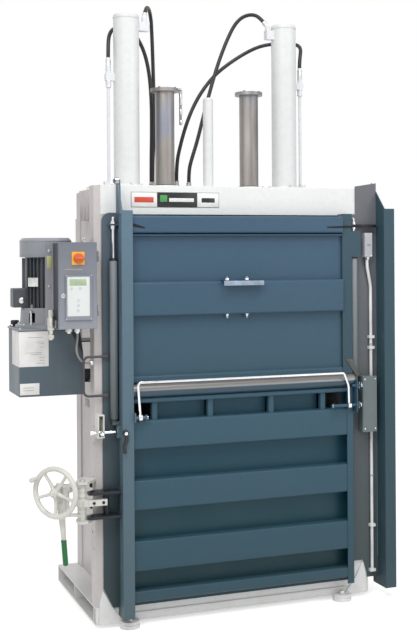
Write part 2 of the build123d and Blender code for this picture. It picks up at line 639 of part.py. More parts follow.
def door_sill():
    """Half-round sill that the loading door closes down to."""
    low, high = LOWER_DOOR_TOP, SILL_TOP
    radius = (high - low) / 2
    nose = ThreePointArc((-450, low), (-450 - radius, low + radius), (-450, high))
    line = Polyline((-450, high), (SKIN_BACK, high), (SKIN_BACK, low), (-450, low))
    section = make_face(Curve() + [nose, line])
    return along_x(section - offset(section, -3), -555, 606)


def hinge_frame_leaves():
    """Frame halves of the three hinges, welded to the right column."""
    leaf = block(HALF_WIDTH, 726, -378, -342, -65, 65)
    for z in (-44.5, 44.5):
        leaf += rod(HINGE_X, HINGE_Y, z - 17.5, z + 17.5, 18)
        leaf += block(724, HINGE_X, HINGE_Y - 6, HINGE_Y + 6, z - 17.5, z + 17.5)
    leaf -= rod(HINGE_X, HINGE_Y, -70, 70, HINGE_PIN + RUN)
    return group(*[Pos(0, 0, z) * leaf for z in HINGE_HEIGHTS])


def hinge_door_leaves():
    leaf = rod(HINGE_X, HINGE_Y, -26.5, 26.5, 18)
    leaf += block(HINGE_X, 773, HINGE_Y - 6, HINGE_Y + 6, -26.5, 26.5)
    leaf -= rod(HINGE_X, HINGE_Y, -30, 30, HINGE_PIN + RUN)
    return group(*[Pos(0, 0, z) * leaf for z in HINGE_HEIGHTS])


def hinge_pins():
    pin = rod(HINGE_X, HINGE_Y, -64, 62, HINGE_PIN) + rod(HINGE_X, HINGE_Y, 62, 69, 14)
    return group(*[Pos(0, 0, z) * pin for z in HINGE_HEIGHTS])


def switch_box():
    """Door switch with its lid, on the plate beside the guide rail."""
    body = block(690, 735, -430, CHANNEL_BACK, 1738, 1862)
    body = fillet(body.edges().filter_by(Axis.Y), 4)
    lid = block(692, 733, -435, -430, 1740, 1860)
    return body + fillet(lid.edges().filter_by(Axis.Y), 3)


def bracket_box():
    """Folded guard over the cables, open on the side where the conduit passes."""
    fold = bent([(666, CHANNEL_BACK), (666, -450), (745, -450)], 4, 6)
    guard = along_z(fold, 850, 1133)
    for z in (850, 1129):
        guard += block(666, 725, -450, CHANNEL_BACK, z, z + 4)
    return guard


CONDUIT_ROUTE = [(713, -416, 1738), (713, -416, 1690), (735, -410, 1590), (735, -410, 128)]


def cable_conduit():
    """Stiff conduit from the switch down the post, held by four clips."""
    conduit = bar_path(CONDUIT_ROUTE, [120, 160], PIPE_RADIUS)
    clips = []
    for x, z in ((735, 1330), (735, 1275), (735, 365), (735, 135)):
        clip = block(x - 15, x + 15, -422, CHANNEL_BACK, z - 7, z + 7)
        clips.append(clip - rod(x, -410, z - 10, z + 10, PIPE_RADIUS))
    return group(conduit, *clips)


def strut_tubes():
    """Lifting struts of the loading door: closed tubes on feet welded to the posts."""
    tubes = []
    for side, inner_face in ((-1, -610), (1, 612)):
        x = side * STRUT_X
        body = turned(x, STRUT_Y, [(0, 978), (19, 978), (19, 1740), (8 + RUN, 1740),
                                   (8 + RUN, 1722), (15, 1722), (15, 1000), (0, 1000)])
        left, right = sorted((inner_face, x + side * 12))
        tubes.append(body + block(left, right, -436, -404, 962, 980))
    return group(*tubes)


def pull_handle():
    """Bent round bar on two pads, for pulling the door."""
    bar = bar_path([(-664, -411, 1100), (-776, -411, 1100), (-776, -411, 1283),
                    (-664, -411, 1283)], 24, 6)
    for z in (1100, 1283):
        bar += block(-680, -656, -411, CHANNEL_BACK, z - 11, z + 11)
    return bar


# Loading door, which rises in the guide channels

def loading_door():
    """Sheet with three folded rails, a stop lip and the two carrier plates of the struts."""
    back = -432
    door = block(-585, 585, back, back + 6, OPENING_BOTTOM, LOADING_TOP)
    rails = ((1862, LOADING_TOP, RAIL_FRONT), (1469, 1629, RAIL_FRONT), (1153, 1187, -450))
    for bottom, top, front in rails:
        door += along_x(hat_rail(bottom, top, front, back + 1), -552, 552)
    door += along_x(outline((back + 1, 1844), (-452, 1848), (-452, 1856), (back + 1, 1860)),
                    -552, 552)
    left = block(-656, -515, -434, -408, 1897, 1905)
    right = block(515, 765, -434, -408, 1897, 1905)
    for x in (-STRUT_X, STRUT_X):
        hole = rod(x, STRUT_Y, 1890, 1910, 8.1)
        left -= hole
        right -= hole
    return door + left + right


def door_handle():
    """Folded grip on the middle rail, held by two rods whose ends stand out at its edges."""
    grip = bent([(-440, 1631), (-498, 1631), (-498, 1608)], 4, 7)
    ends = [rod(x, -452, z, z + length, 5) for x in (-72, 31) for z, length in ((1448, 21), (1633, 17))]
    return group(along_x(grip, -105, 103), *ends)


def guide_shoes():
    """Plastic shoes gripping the edges of the sheet, one at each corner."""
    section = Pos(580, -420) * Rectangle(40, 39) - Pos(572.5, -429) * Rectangle(25, 6)
    low = along_z(section, 1160, 1280)
    high = along_z(section, 1765, 1885)
    return group(low, high, other_side(low), other_side(high))


def strut_rods():
    profile = [(0, 1085), (15 - RUN, 1085), (15 - RUN, 1110), (8, 1110), (8, 1880), (13, 1880),
               (13, 1897), (8, 1897), (8, 1905), (13, 1905), (13, 1918), (8, 1918), (8, 1936),
               (6, 1938), (0, 1938)]
    right = turned(STRUT_X, STRUT_Y, profile)
    return group(right, other_side(right))


def bail():
    """Chrome bow in front of the sill, with an eye on each end."""
    left, right = BAIL_EYES
    bow = bar_path([(left, BAIL_Y, BAIL_Z + 10), (left - 15, -500, 1163), (right - 35, -500, 1161),
                    (right - 4, -489, 1095), (right, BAIL_Y, BAIL_Z + 10)], [16, 16, 45], 6.5)
    for x in BAIL_EYES:
        bow += rod_x(x - 8, x + 8, BAIL_Y, BAIL_Z, 15)
    for x in BAIL_EYES:
        bow -= rod_x(x - 12, x + 12, BAIL_Y, BAIL_Z, 8 + RUN)
    return bow


# Lock with its hand wheel, and the latch half way up

def on_spindle(start, length):
    """Plane across the spindle, this far along it, with its X axis level."""
    origin = Vector(*WHEEL_CENTRE) + Vector(*SPINDLE) * start
    return Plane(origin=origin, x_dir=ACROSS, z_dir=SPINDLE).offset(length)


def on_wheel(start, end, radius, across=0, up=0):
    """A round piece parallel to the spindle, from start to end along it."""
    return extrude(on_spindle(start, 0) * Pos(across, -up) * Circle(radius), end - start)


def lock_brackets():
    """Lugs that carry the lock, and the bracket of the latch bolt, on the left column."""
    lug = outline((-HALF_WIDTH, -340), (-HALF_WIDTH, -402), (-775, -468), (-818, -468),
                  (-818, -415), (-765, -340))
    pieces = []
    for z in (520, 700):
        pieces.append(along_z(lug, z, z + 12) - rod(LOCK_X, LOCK_Y, z - 1, z + 13, 10.02))
    spine = block(-729, -HALF_WIDTH, -385, -345, 530, 702)
    lugs = pieces[0] + pieces[1] + spine
    bracket = block(-719, -687, -448, -HALF_DEPTH, 906, 1015)
    bracket -= block(-713, -693, -460, -398, 912, 1009)
    bracket -= rod_x(-725, -680, -430, 930, 8 + RUN) + block(-694, -686, -450, -430, 924.5, 935.5)
    return group(lugs, bracket)


def lock_pin():
    return rod(LOCK_X, LOCK_Y, 514, 712, 10) + rod(LOCK_X, LOCK_Y, 712, 719, 15)


def lock_lever():
    """Swinging lever: sleeve on the pin, two plates to the spindle nut, and the tongue."""
    lever = rod(LOCK_X, LOCK_Y, 532.5, 699.5, 17) + rod(LOCK_X, LOCK_Y, 596, 630, 24)
    plate = make_hull((Pos(LOCK_X, LOCK_Y) * Circle(20)).edges()
                      + (Pos(-862, -412) * Circle(20)).edges())
    for z in (552, 688):
        lever += along_z(plate, z, z + 8)
    lever += rod(-862, -412, 552, 696, 14) + on_wheel(56, 122, NUT_RADIUS)
    lever += block(LOCK_X, -682, -472, -444, 599, 627)
    lever -= rod(LOCK_X, LOCK_Y, 530, 705, 10 + RUN)
    return lever - on_wheel(50, 130, 12 + RUN)


def hand_wheel():
    """Cast wheel with five spokes, and the spindle it turns."""
    rim = Plane.XZ * Pos(WHEEL_RADIUS, 0) * Rot(0, 0, 15) * RegularPolygon(9.3, 12)
    wheel = revolve(rim, Axis.Z)
    for step in range(5):
        wheel += Rot(0, 0, 72 * step + 18) * Pos(62, 0, 0) * Rot(0, 90, 0) * Cylinder(7, 96)
    wheel = on_spindle(0, 0) * wheel + on_wheel(-22, 23, 20) + on_wheel(-22, 160, 12)
    return wheel + knob_stud()


KNOB_TURN = radians(149)    # where on the rim the knob stands


def spinner_knob():
    """Turning knob on its stud on the rim."""
    across, up = WHEEL_RADIUS * cos(KNOB_TURN), WHEEL_RADIUS * sin(KNOB_TURN)
    knob = on_wheel(-52, -14, 12, across, up)
    return knob - on_wheel(-54, -12, 5 + RUN, across, up)


def knob_stud():
    across, up = WHEEL_RADIUS * cos(KNOB_TURN), WHEEL_RADIUS * sin(KNOB_TURN)
    return on_wheel(-54, 0, 5, across, up) + on_wheel(-58, -52.3, 8, across, up)


def ratchet_lever():
    """Ratchet head on the spindle with its tapered arm and grip, hanging a little aslant."""
    sections = [Plane((0, down, 0), x_dir=(1, 0, 0), z_dir=(0, 1, 0)) * Rectangle(width, thick)
                for down, width, thick in ((24, 40, 14), (226, 17, 12))]
    grip = Pos(0, 280.5, 0) * Rot(90, 0, 0) * Cylinder(11, 115)
    grip = fillet(grip.edges().group_by(Axis.Y)[-1], 8)
    arm = on_spindle(37, 0) * Rot(0, 0, -5) * (loft(sections) + grip)
    return on_wheel(26, 48, 34) + arm - on_wheel(20, 60, 12 + RUN)


def latch_bolt():
    """Bolt that slides towards the door post, with its knob standing up."""
    bolt = rod_x(-740, -630, -430, 930, 8) + rod_x(-748, -740, -430, 930, 12)
    return bolt + rod_y(-703, -470, -430, 930, 5) + Pos(-703, -474, 930) * Sphere(11)


def latch_lever():
    """Curved black lever on the front of the post."""
    path = FilletPolyline((-598, 930), (-590, 900), (-606, 868), (-600, 837), radius=26)
    arm = along_y(trace(path, line_width=15), -498, -487)
    arm += rod_y(-598, -500, -486, 930, 14)
    return arm - rod_y(-598, -505, -480, 930, 6 + RUN)


nodes = {
    "base_frame": base_frame(),
    "anchor_feet": anchor_feet(),
    "side_frame_left": other_side(side_frame()),
    "side_frame_right": side_frame(),
    "rear_wall": rear_wall(),
    "bale_floor": bale_floor(),
    "crosshead": crosshead(),
    "header_cover": header_cover(),
    "guide_bushes": guide_bushes(),
    "cylinder_barrels": cylinder_barrels(),
    "cylinder_glands": cylinder_glands(),
    "pressure_pipes": pressure_pipes(),
    "hose_manifold": hose_manifold(),
    "hose_left_pipe": cord("hose_left_pipe", HOSE_LEFT_PIPE, HOSE_RADIUS),
    "hose_left_port": cord("hose_left_port", HOSE_LEFT_PORT, HOSE_RADIUS),
    "hose_right_port": cord("hose_right_port", HOSE_RIGHT_PORT, HOSE_RADIUS),
    "hose_right_pipe": cord("hose_right_pipe", HOSE_RIGHT_PIPE, HOSE_RADIUS),
    "oil_tank": oil_tank(),
    "tank_lid": tank_lid(),
    "pump": pump(),
    "motor_bell": motor_bell(),
    "motor_housing": motor_housing(),
    "motor_cowl": motor_cowl(),
    "motor_rotor": motor_rotor(),
    "cabinet_body": cabinet_body(),
    "cabinet_door": cabinet_door(),
    "control_plates": control_plates(),
    "switch_knob": switch_knob(),
    "cable_glands": cable_glands(),
    "cabinet_cable": cord("cabinet_cable", CABLE_ROUTE, 5),
    "platen": platen(),
    "piston_rods": piston_rods(),
    "guide_tubes": guide_tubes(),
    "centre_tube": centre_tube(),
    "left_post": left_post(),
    "top_roller": top_roller(),
    "right_post": right_post(),
    "lower_door": lower_door(),
    "door_sill": door_sill(),
    "hinge_frame_leaves": hinge_frame_leaves(),
    "hinge_door_leaves": hinge_door_leaves(),
    "hinge_pins": hinge_pins(),
    "switch_box": switch_box(),
    "bracket_box": bracket_box(),
    "cable_conduit": cable_conduit(),
    "strut_tubes": strut_tubes(),
    "pull_handle": pull_handle(),
    "loading_door": loading_door(),
    "door_handle": door_handle(),
    "guide_shoes": guide_shoes(),
    "strut_rods": strut_rods(),
    "bail": bail(),
    "lock_brackets": lock_brackets(),
    "lock_pin": lock_pin(),
    "lock_lever": lock_lever(),
    "hand_wheel": hand_wheel(),
    "spinner_knob": spinner_knob(),
    "ratchet_lever": ratchet_lever(),
    "latch_bolt": latch_bolt(),
    "latch_lever": latch_lever(),
}

os.makedirs("parts", exist_ok=True)
for name, shape in nodes.items():
    export_step(shape, f"parts/{name}.step")
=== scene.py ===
import random
from math import cos, pi, radians, sin

import bmesh
import bpy
from mathutils import Matrix, Vector


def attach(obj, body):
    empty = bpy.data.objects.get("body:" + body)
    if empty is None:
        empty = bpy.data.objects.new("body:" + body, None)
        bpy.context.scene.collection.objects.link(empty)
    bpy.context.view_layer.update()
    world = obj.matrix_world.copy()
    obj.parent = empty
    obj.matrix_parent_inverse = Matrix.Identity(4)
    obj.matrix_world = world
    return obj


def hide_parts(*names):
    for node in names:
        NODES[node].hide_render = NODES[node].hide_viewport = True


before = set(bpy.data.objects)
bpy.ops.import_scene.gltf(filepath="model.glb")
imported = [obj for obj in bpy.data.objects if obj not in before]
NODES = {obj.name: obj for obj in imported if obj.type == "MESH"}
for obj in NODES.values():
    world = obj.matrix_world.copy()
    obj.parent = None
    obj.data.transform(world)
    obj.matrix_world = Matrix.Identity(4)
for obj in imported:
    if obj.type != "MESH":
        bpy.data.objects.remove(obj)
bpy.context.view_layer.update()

random.seed(7)
MM = 0.001
X_AXIS, Z_AXIS, FRONT = Vector((1, 0, 0)), Vector((0, 0, 1)), Vector((0, -1, 0))
SIDES = (-1, 1)

# Places and sizes in millimetres, as the solids have them
CYLINDER_X = 440
GUIDE_X = 235
LIMIT_ROD_X = -148
PIPE_X = 535
FLANGE_TOP = 2111                               # of the flanges on the cross head
MOTOR_AXIS, MOTOR_FOOT = Vector((-896, -152, 0)), Z_AXIS * 1427
TANK_LEFT, TANK_FRONT, TANK_TOP = -1053.5, -286.5, 1413
HINGE_HEIGHTS = (250, 1000, 1800)
STRUT_X, STRUT_Y = 632, -421
BAIL_Y, BAIL_Z = -486, 997
LOCK_PIN_Y, LOCK_PIN_Z = -484, 1094
CONDUIT_X, CONDUIT_Y = 735, -410
LATCH_Z = 930
LOCK_X, LOCK_Y = -795, -440                     # pin that the lock swings on
NUT_X, NUT_Y = -862, -412                       # pivot of the spindle nut
WHEEL_CENTRE = Vector((-929, -480, 678))
RIM_RADIUS, RIM_HALF, KNOB_RADIUS = 109, 12.2, 113
SPINDLE = Vector((0.731, 0.682, 0)).normalized()
ACROSS = Vector((0.682, -0.731, 0)).normalized()    # level, in the plane of the wheel
ARM_SLANT = 5                                   # degrees that the ratchet lever hangs aslant
SHARP_FROM = 38                                 # degrees between faces


def placed(name, data):
    """A new object in the scene."""
    made = bpy.data.objects.new(name, data)
    bpy.context.scene.collection.objects.link(made)
    return made


# Camera, at the photograph's place and with its shift

PHOTO_WIDTH, SHIFT_DOWN = 417, -69    # in pixels
camera = placed("camera", bpy.data.cameras.new("camera"))
camera.data.sensor_fit = "HORIZONTAL"
camera.data.sensor_width = 36
camera.data.lens = 96.5
camera.data.shift_y = SHIFT_DOWN / PHOTO_WIDTH
camera.data.clip_end = 60
LOOK = Matrix.Rotation(radians(-20.5), 4, "Z") @ Matrix.Rotation(radians(90), 4, "X")
ROLL = Matrix.Rotation(radians(-0.36), 4, "Z")
camera.matrix_world = Matrix.Translation((-2.051, -5.492, 1.777)) @ LOOK @ ROLL
bpy.context.scene.camera = camera
bpy.context.scene.view_settings.view_transform = "Standard"


# Materials

def linear(value):
    value /= 255
    return value / 12.92 if value <= 0.04045 else ((value + 0.055) / 1.055) ** 2.4


def colour(rgb, shade=1.0):
    return tuple(linear(min(255, c * shade)) for c in rgb) + (1,)


class Nodes:
    """A material under construction, with short calls for the nodes that it needs."""

    def __init__(self, name):
        self.material = bpy.data.materials.new(name)
        self.material.use_nodes = True
        self.tree = self.material.node_tree
        self.shader = self.tree.nodes["Principled BSDF"]
        self.place = self.add("ShaderNodeTexCoord").outputs["Object"]

    def add(self, kind, **values):
        node = self.tree.nodes.new(kind)
        for key, value in values.items():
            if key in node.inputs:
                node.inputs[key].default_value = value
            else:
                setattr(node, key, value)
        return node

    def link(self, out, into):
        self.tree.links.new(out, into)

    def part(self, axis):
        """One coordinate of the place that is shaded."""
        node = self.add("ShaderNodeSeparateXYZ")
        self.link(self.place, node.inputs[0])
        return node.outputs[axis]

    def test(self, axis, kind, limit):
        """One where the coordinate is past the limit, and nothing elsewhere."""
        node = self.add("ShaderNodeMath", operation=kind)
        node.inputs[1].default_value = limit
        self.link(self.part(axis), node.inputs[0])
        return node.outputs[0]

    def noise(self, scale, detail=3.0, stretch=None):
        node = self.add("ShaderNodeTexNoise", Scale=scale, Detail=detail)
        place = self.place
        if stretch:
            mapping = self.add("ShaderNodeMapping", Scale=stretch)
            self.link(place, mapping.inputs["Vector"])
            place = mapping.outputs["Vector"]
        self.link(place, node.inputs["Vector"])
        return node.outputs["Fac"]

    def ramp(self, factor, stops):
        node = self.add("ShaderNodeValToRGB")
        points = node.color_ramp.elements
        while len(points) < len(stops):
            points.new(0.5)
        for point, (position, value) in zip(points, stops):
            point.position = position
            point.color = value if isinstance(value, tuple) else (value, value, value, 1)
        self.link(factor, node.inputs["Fac"])
        return node.outputs["Color"]

    def mix(self, factor, a, b, kind="MIX"):
        node = self.add("ShaderNodeMixRGB", blend_type=kind)
        for socket, value in zip(node.inputs, (factor, a, b)):
            if isinstance(value, (int, float, tuple)):
                socket.default_value = value
            else:
                self.link(value, socket)
        return node.outputs["Color"]

    def bump(self, height, strength, distance=0.001, rounding=0.0):
        node = self.add("ShaderNodeBump", Strength=strength, Distance=distance)
        self.link(height, node.inputs["Height"])
        if rounding:
            edge = self.add("ShaderNodeBevel", samples=4, Radius=rounding)
            self.link(edge.outputs["Normal"], node.inputs["Normal"])
        self.link(node.outputs["Normal"], self.shader.inputs["Normal"])

    def finish(self, tone, roughness=None, **constants):
        self.link(tone, self.shader.inputs["Base Color"])
        if roughness is not None:
            self.link(roughness, self.shader.inputs["Roughness"])
        for key, value in constants.items():
            self.shader.inputs[key.replace("_", " ")].default_value = value
        return self.material


def painted(name, rgb, rough=0.42, patch=0.05, rounding=0.0016, dust=None, coat=0.12):
    """Powder coat: orange peel, soft patches of tone, dust low down and fine specks."""
    n = Nodes(name)
    broad = n.ramp(n.noise(1.7, 4), [(0.3, colour(rgb, 1 - patch)), (0.7, colour(rgb, 1 + patch))])
    fine = n.ramp(n.noise(38, 6), [(0.36, 0.93), (0.6, 1.0)])
    tone = n.mix(0.55, broad, fine, "MULTIPLY")
    scuff = n.ramp(n.noise(9, 9, (1, 1, 0.18)), [(0.66, 0.0), (0.74, 1.0)])
    tone = n.mix(n.mix(1.0, scuff, (0.10, 0.10, 0.10, 1), "MULTIPLY"), tone, colour(rgb, 1.25))
    if dust:
        near_floor = n.ramp(n.part("Z"), [(0.0, 0.55), (0.22, 0.0)])
        grain = n.mix(1.0, near_floor, n.noise(14, 8), "MULTIPLY")
        tone = n.mix(grain, tone, colour(dust))
    n.bump(n.noise(420, 2), 0.10, 0.0004, rounding)
    gloss = n.ramp(n.noise(6, 5), [(0.3, rough - 0.05), (0.7, rough + 0.07)])
    return n.finish(tone, gloss, Coat_Weight=coat, Coat_Roughness=0.25)


def panel_paint(name, low, high, rough, patch, behind=None, edge_y=0.0, shade_patch_tone=None,
                within=(), floor=0.05, ceiling=1.9):
    """Coat with painted light and shade: its tone goes from low to high between floor and ceiling, given
    in metres.

    Past edge_y, towards the back, it has a pair of tones of its own, painted light and shade for faces
    set back from the front, and where every test of within holds it takes the patch tone, a painted
    shade.
    """
    n = Nodes(name)
    # Painted light and shade: the tone runs from low at the floor height to high at the ceiling height.
    height = n.add("ShaderNodeMapRange", **{"From Min": floor, "From Max": ceiling})
    n.link(n.part("Z"), height.inputs["Value"])
    tone = n.ramp(height.outputs[0], [(0.0, colour(low)), (1.0, colour(high))])
    # Painted light and shade of the faces set back past edge_y.
    if behind:
        back = n.ramp(height.outputs[0], [(0.0, colour(behind[0])), (1.0, colour(behind[1]))])
        tone = n.mix(n.test("Y", "GREATER_THAN", edge_y), tone, back)
    broad = n.ramp(n.noise(1.3, 5, (1, 1, 0.5)), [(0.3, 1 - patch), (0.7, 1.0)])
    tone = n.mix(1.0, tone, broad, "MULTIPLY")
    fine = n.ramp(n.noise(38, 6), [(0.36, 0.94), (0.6, 1.0)])
    tone = n.mix(0.5, tone, fine, "MULTIPLY")
    dust = n.ramp(n.part("Z"), [(0.0, 0.4), (0.2, 0.0)])
    tone = n.mix(n.mix(1.0, dust, n.noise(14, 8), "MULTIPLY"), tone, colour((92, 98, 96)))
    # A patch of painted shade inside the box that within gives.
    if shade_patch_tone:
        inside = (1, 1, 1, 1)
        for axis, kind, limit in within:
            inside = n.mix(1.0, inside, n.test(axis, kind, limit), "MULTIPLY")
        tone = n.mix(inside, tone, colour(shade_patch_tone))
    n.bump(n.noise(420, 2), 0.10, 0.0004, 0.0032)
    gloss = n.ramp(n.noise(5, 5), [(0.3, rough - 0.06), (0.7, rough + 0.08)])
    return n.finish(tone, gloss, Specular_IOR_Level=0.3)


def rolled(name, low, high):
    """A rounded sheet, painted: faces turned up take the light high tone as a painted highlight, the rest
    the low tone.
    """
    n = Nodes(name)
    # Painted highlight: the tone goes from low to high as the face turns upward.
    facing = n.add("ShaderNodeSeparateXYZ")
    n.link(n.add("ShaderNodeNewGeometry").outputs["Normal"], facing.inputs[0])
    streak = n.noise(5, 7, (0.5, 4, 4))
    wobble = n.mix(0.12, facing.outputs["Z"], streak)
    tone = n.ramp(wobble, [(0.0, colour(low)), (0.10, colour(low, 1.15)), (0.22, colour(high)),
                           (0.7, colour(high, 0.86))])
    n.bump(n.noise(300, 2), 0.08, 0.0004, 0.0)
    gloss = n.ramp(streak, [(0.3, 0.24), (0.7, 0.38)])
    return n.finish(tone, gloss, Metallic=0.35)


def by_height(name, limit, low, high, rough=0.42):
    """Two plain foils in one node, told apart by their height."""
    n = Nodes(name)
    above = n.test("Z", "GREATER_THAN", limit)
    shade = n.ramp(n.noise(12, 5), [(0.3, 0.96), (0.7, 1.0)])
    tone = n.mix(1.0, n.mix(above, colour(low), colour(high)), shade, "MULTIPLY")
    n.bump(n.noise(700, 2), 0.1, 0.0003, 0.0)
    return n.finish(tone, n.ramp(n.noise(16, 4), [(0.35, rough - 0.05), (0.7, rough + 0.08)]))


def metal(name, rgb, rough=0.28, stretch=None, contrast=0.12, metallic=1.0, rounding=0.0008,
          scale=30, tint=None):
    """Bare or plated steel: drawn or turned lines, smears and a little staining."""
    n = Nodes(name)
    lines = n.noise(scale, 8, stretch)
    tone = n.ramp(lines, [(0.3, colour(rgb, 1 - contrast)), (0.7, colour(rgb, 1 + contrast))])
    stain = n.ramp(n.noise(3.1, 6), [(0.5, 0.0), (0.72, 0.6)])
    tone = n.mix(stain, tone, colour(tint or tuple(c * 0.8 for c in rgb)))
    n.bump(lines, 0.08, 0.0004, rounding)
    gloss = n.ramp(n.noise(11, 4, stretch), [(0.3, max(0.03, rough - 0.07)), (0.7, rough + 0.1)])
    return n.finish(tone, gloss, Metallic=metallic)


def moulded(name, rgb, rough=0.5, grain=260, strength=0.25, rounding=0.0008, coat=0.0):
    """Moulded plastic or rubber with a fine grain and a few lighter rubs."""
    n = Nodes(name)
    tone = n.ramp(n.noise(7, 6), [(0.3, colour(rgb, 0.9)), (0.75, colour(rgb, 1.12))])
    rub = n.ramp(n.noise(70, 8), [(0.62, 0.0), (0.75, 0.35)])
    tone = n.mix(rub, tone, colour(tuple(min(255, c + 28) for c in rgb)))
    n.bump(n.noise(grain, 3), strength, 0.0003, rounding)
    gloss = n.ramp(n.noise(16, 4), [(0.35, rough - 0.05), (0.7, rough + 0.08)])
    return n.finish(tone, gloss, Coat_Weight=coat)


def printed(name, rgb, rough=0.3, strength=0.04):
    """Printed foil or plate."""
    return moulded(name, rgb, rough, 700, strength)


WHITE = painted("white_powder_coat", (236, 237, 237), 0.44, 0.018, dust=(204, 200, 192))
HEADER_WHITE = painted("header_powder_coat", (238, 240, 239), 0.40, 0.012)
BARREL_WHITE = painted("barrel_paint", (224, 227, 226), 0.32, 0.015, rounding=0.001)
# A darker copy of the white frame paint for the left and rear walls, as painted shade, with dust low
# down.
WALL_WHITE_SHADED = painted("side_wall_shaded_paint", (204, 198, 196), 0.46, 0.03, dust=(190, 182, 172))
# Door paint with painted light and shade: darker low down, lighter up high, and darker again on faces set
# back past y = -0.42 m.
DOOR = panel_paint("blue_grey_powder_coat", (46, 76, 88), (68, 101, 121), 0.40, 0.05,
                   ((22, 60, 66), (44, 92, 116)), -0.42)
# Painted light and shade: darker low down, lighter up high.
LOADER = panel_paint("loading_door_paint", (48, 80, 80), (67, 95, 118), 0.38, 0.06)
# A lighter copy of the door paint as painted light; faces set back past y = -0.432 m darker as painted
# shade, and the keeper plates low on the left edge dark as painted shade.
POST_LEFT = panel_paint("left_post_paint", (80, 101, 110), (99, 124, 140), 0.40, 0.05,
                        ((50, 68, 70), (88, 102, 114)), -0.432, (38, 44, 50),
                        (("X", "LESS_THAN", -0.6125), ("Z", "LESS_THAN", 0.70),
                         ("Y", "LESS_THAN", -0.4006)))
# A darker copy of the door paint as painted shade; faces set back past y = -0.4006 m lighter and greyer
# as painted light.
POST_RIGHT = panel_paint("right_post_paint", (52, 76, 84), (58, 84, 96), 0.40, 0.05,
                         ((72, 84, 86), (112, 114, 119)), -0.4006)
GUARD = painted("guard_paint", (106, 118, 120), 0.42, 0.04)
# Painted light and shade: darker low down, lighter towards the top.
STRUT = panel_paint("strut_paint", (92, 101, 101), (150, 157, 164), 0.34, 0.05,
                    floor=1.0, ceiling=1.74)
PIPE_GREY = painted("pipe_paint", (222, 224, 228), 0.34, 0.02, rounding=0.0)
# Blue sill paint with a painted highlight on its upward faces.
SILL = rolled("sill_paint", (56, 78, 92), (156, 153, 150))
TANK = painted("tank_paint", (76, 91, 100), 0.44, 0.04)
# Painted light and shade: lighter low down, darker towards the top.
CABINET = panel_paint("cabinet_paint", (150, 154, 163), (124, 128, 138), 0.46, 0.03,
                      floor=1.43, ceiling=1.81)
# Painted light and shade from bottom to top, and a dark patch of painted shade on the sides past the
# front face.
CABINET_BODY = panel_paint("cabinet_body_paint", (174, 176, 182), (140, 143, 150), 0.46, 0.03,
                           shade_patch_tone=(62, 64, 74), floor=1.43, ceiling=1.81,
                           within=(("Y", "GREATER_THAN", -0.4645), ("Y", "LESS_THAN", -0.36)))
# Steel darkened and tinted blue: a painted reflection of the blue door around the handle.
HANDLE = metal("handle_steel", (150, 162, 180), 0.2, None, 0.10)
# Dark olive grey in place of the door paint: painted shade on the slanted gusset.
GUSSET_SHADE = painted("gusset_shaded_paint", (76, 80, 77), 0.42, 0.05)
MOTOR = painted("motor_paint", (140, 144, 150), 0.33, 0.05, rounding=0.002)
MOTOR_DARK = painted("motor_body_paint", (72, 77, 83), 0.46, 0.08, rounding=0.0006)
DARK = painted("dark_enamel", (66, 64, 70), 0.36, 0.08, rounding=0.001)
PRESS = painted("press_plate_paint", (70, 84, 94), 0.48, 0.08)
SWITCH_GREY = painted("switch_housing", (186, 187, 196), 0.5, 0.03)
CAST_WHITE = painted("cast_white", (222, 221, 214), 0.40, 0.05, rounding=0.001)
STEEL = metal("ground_steel", (176, 174, 170), 0.30, (1, 1, 6))
GUIDE_STEEL = metal("oiled_guide_steel", (150, 145, 141), 0.42, (3, 3, 0.25), 0.14,
                    tint=(120, 134, 164), scale=9)
CHROME = metal("chrome", (226, 227, 230), 0.10, None, 0.03)
ZINC = metal("zinc_plate", (210, 211, 208), 0.30, None, 0.08, tint=(196, 195, 184))
FLOOR_STEEL = metal("worn_floor_steel", (120, 116, 110), 0.42, (0.3, 6, 1), 0.2)
BLACK_STEEL = metal("black_bolt", (44, 43, 44), 0.42, None, 0.2, 0.75)
PAD_BEIGE = moulded("foot_pad", (240, 240, 238), 0.6)
HOSE = moulded("hose_rubber", (31, 30, 31), 0.46, 900, 0.35, rounding=0.0)
CABLE = moulded("cable_sheath", (150, 150, 146), 0.5, 500, 0.1, rounding=0.0)
BLACK = moulded("black_plastic", (34, 34, 37), 0.5)
SEAL = moulded("rubber_seal", (26, 26, 27), 0.62)
CONDUIT = moulded("white_conduit", (240, 240, 238), 0.34, 200, 0.08)
GREEN_GRIP = moulded("green_grip", (18, 104, 48), 0.42, 340, 0.35)
RED = moulded("red_knob", (206, 92, 34), 0.30, 300, 0.06, coat=0.4)
FOIL = by_height("control_foils", 1.70, (229, 233, 232), (250, 188, 70))
FOIL_GREEN = moulded("display_strip", (168, 190, 150), 0.28, 800, 0.05)
FOIL_PRINT = moulded("faint_print", (176, 182, 182), 0.45, 800, 0.05)
LABEL = printed("plain_label", (244, 240, 234), 0.5, 0.06)
LABEL_YELLOW = printed("yellow_label", (188, 186, 128), 0.5, 0.06)
LABEL_GREY = printed("grey_label", (158, 150, 146), 0.5, 0.06)
SIGN_WHITE = printed("sign_white", (246, 245, 241))
SIGN_BLACK = printed("sign_black", (26, 31, 28), 0.28)
SIGN_RED = printed("sign_red", (206, 74, 54))
SIGN_GREEN = printed("sign_green", (74, 150, 84))
SIGN_EDGE = printed("sign_edge", (70, 74, 74), 0.34)
WELD = painted("painted_weld", (84, 103, 117), 0.4, 0.1, rounding=0.0)
WELD_WHITE = painted("painted_weld_white", (226, 222, 216), 0.42, 0.04, rounding=0.0)

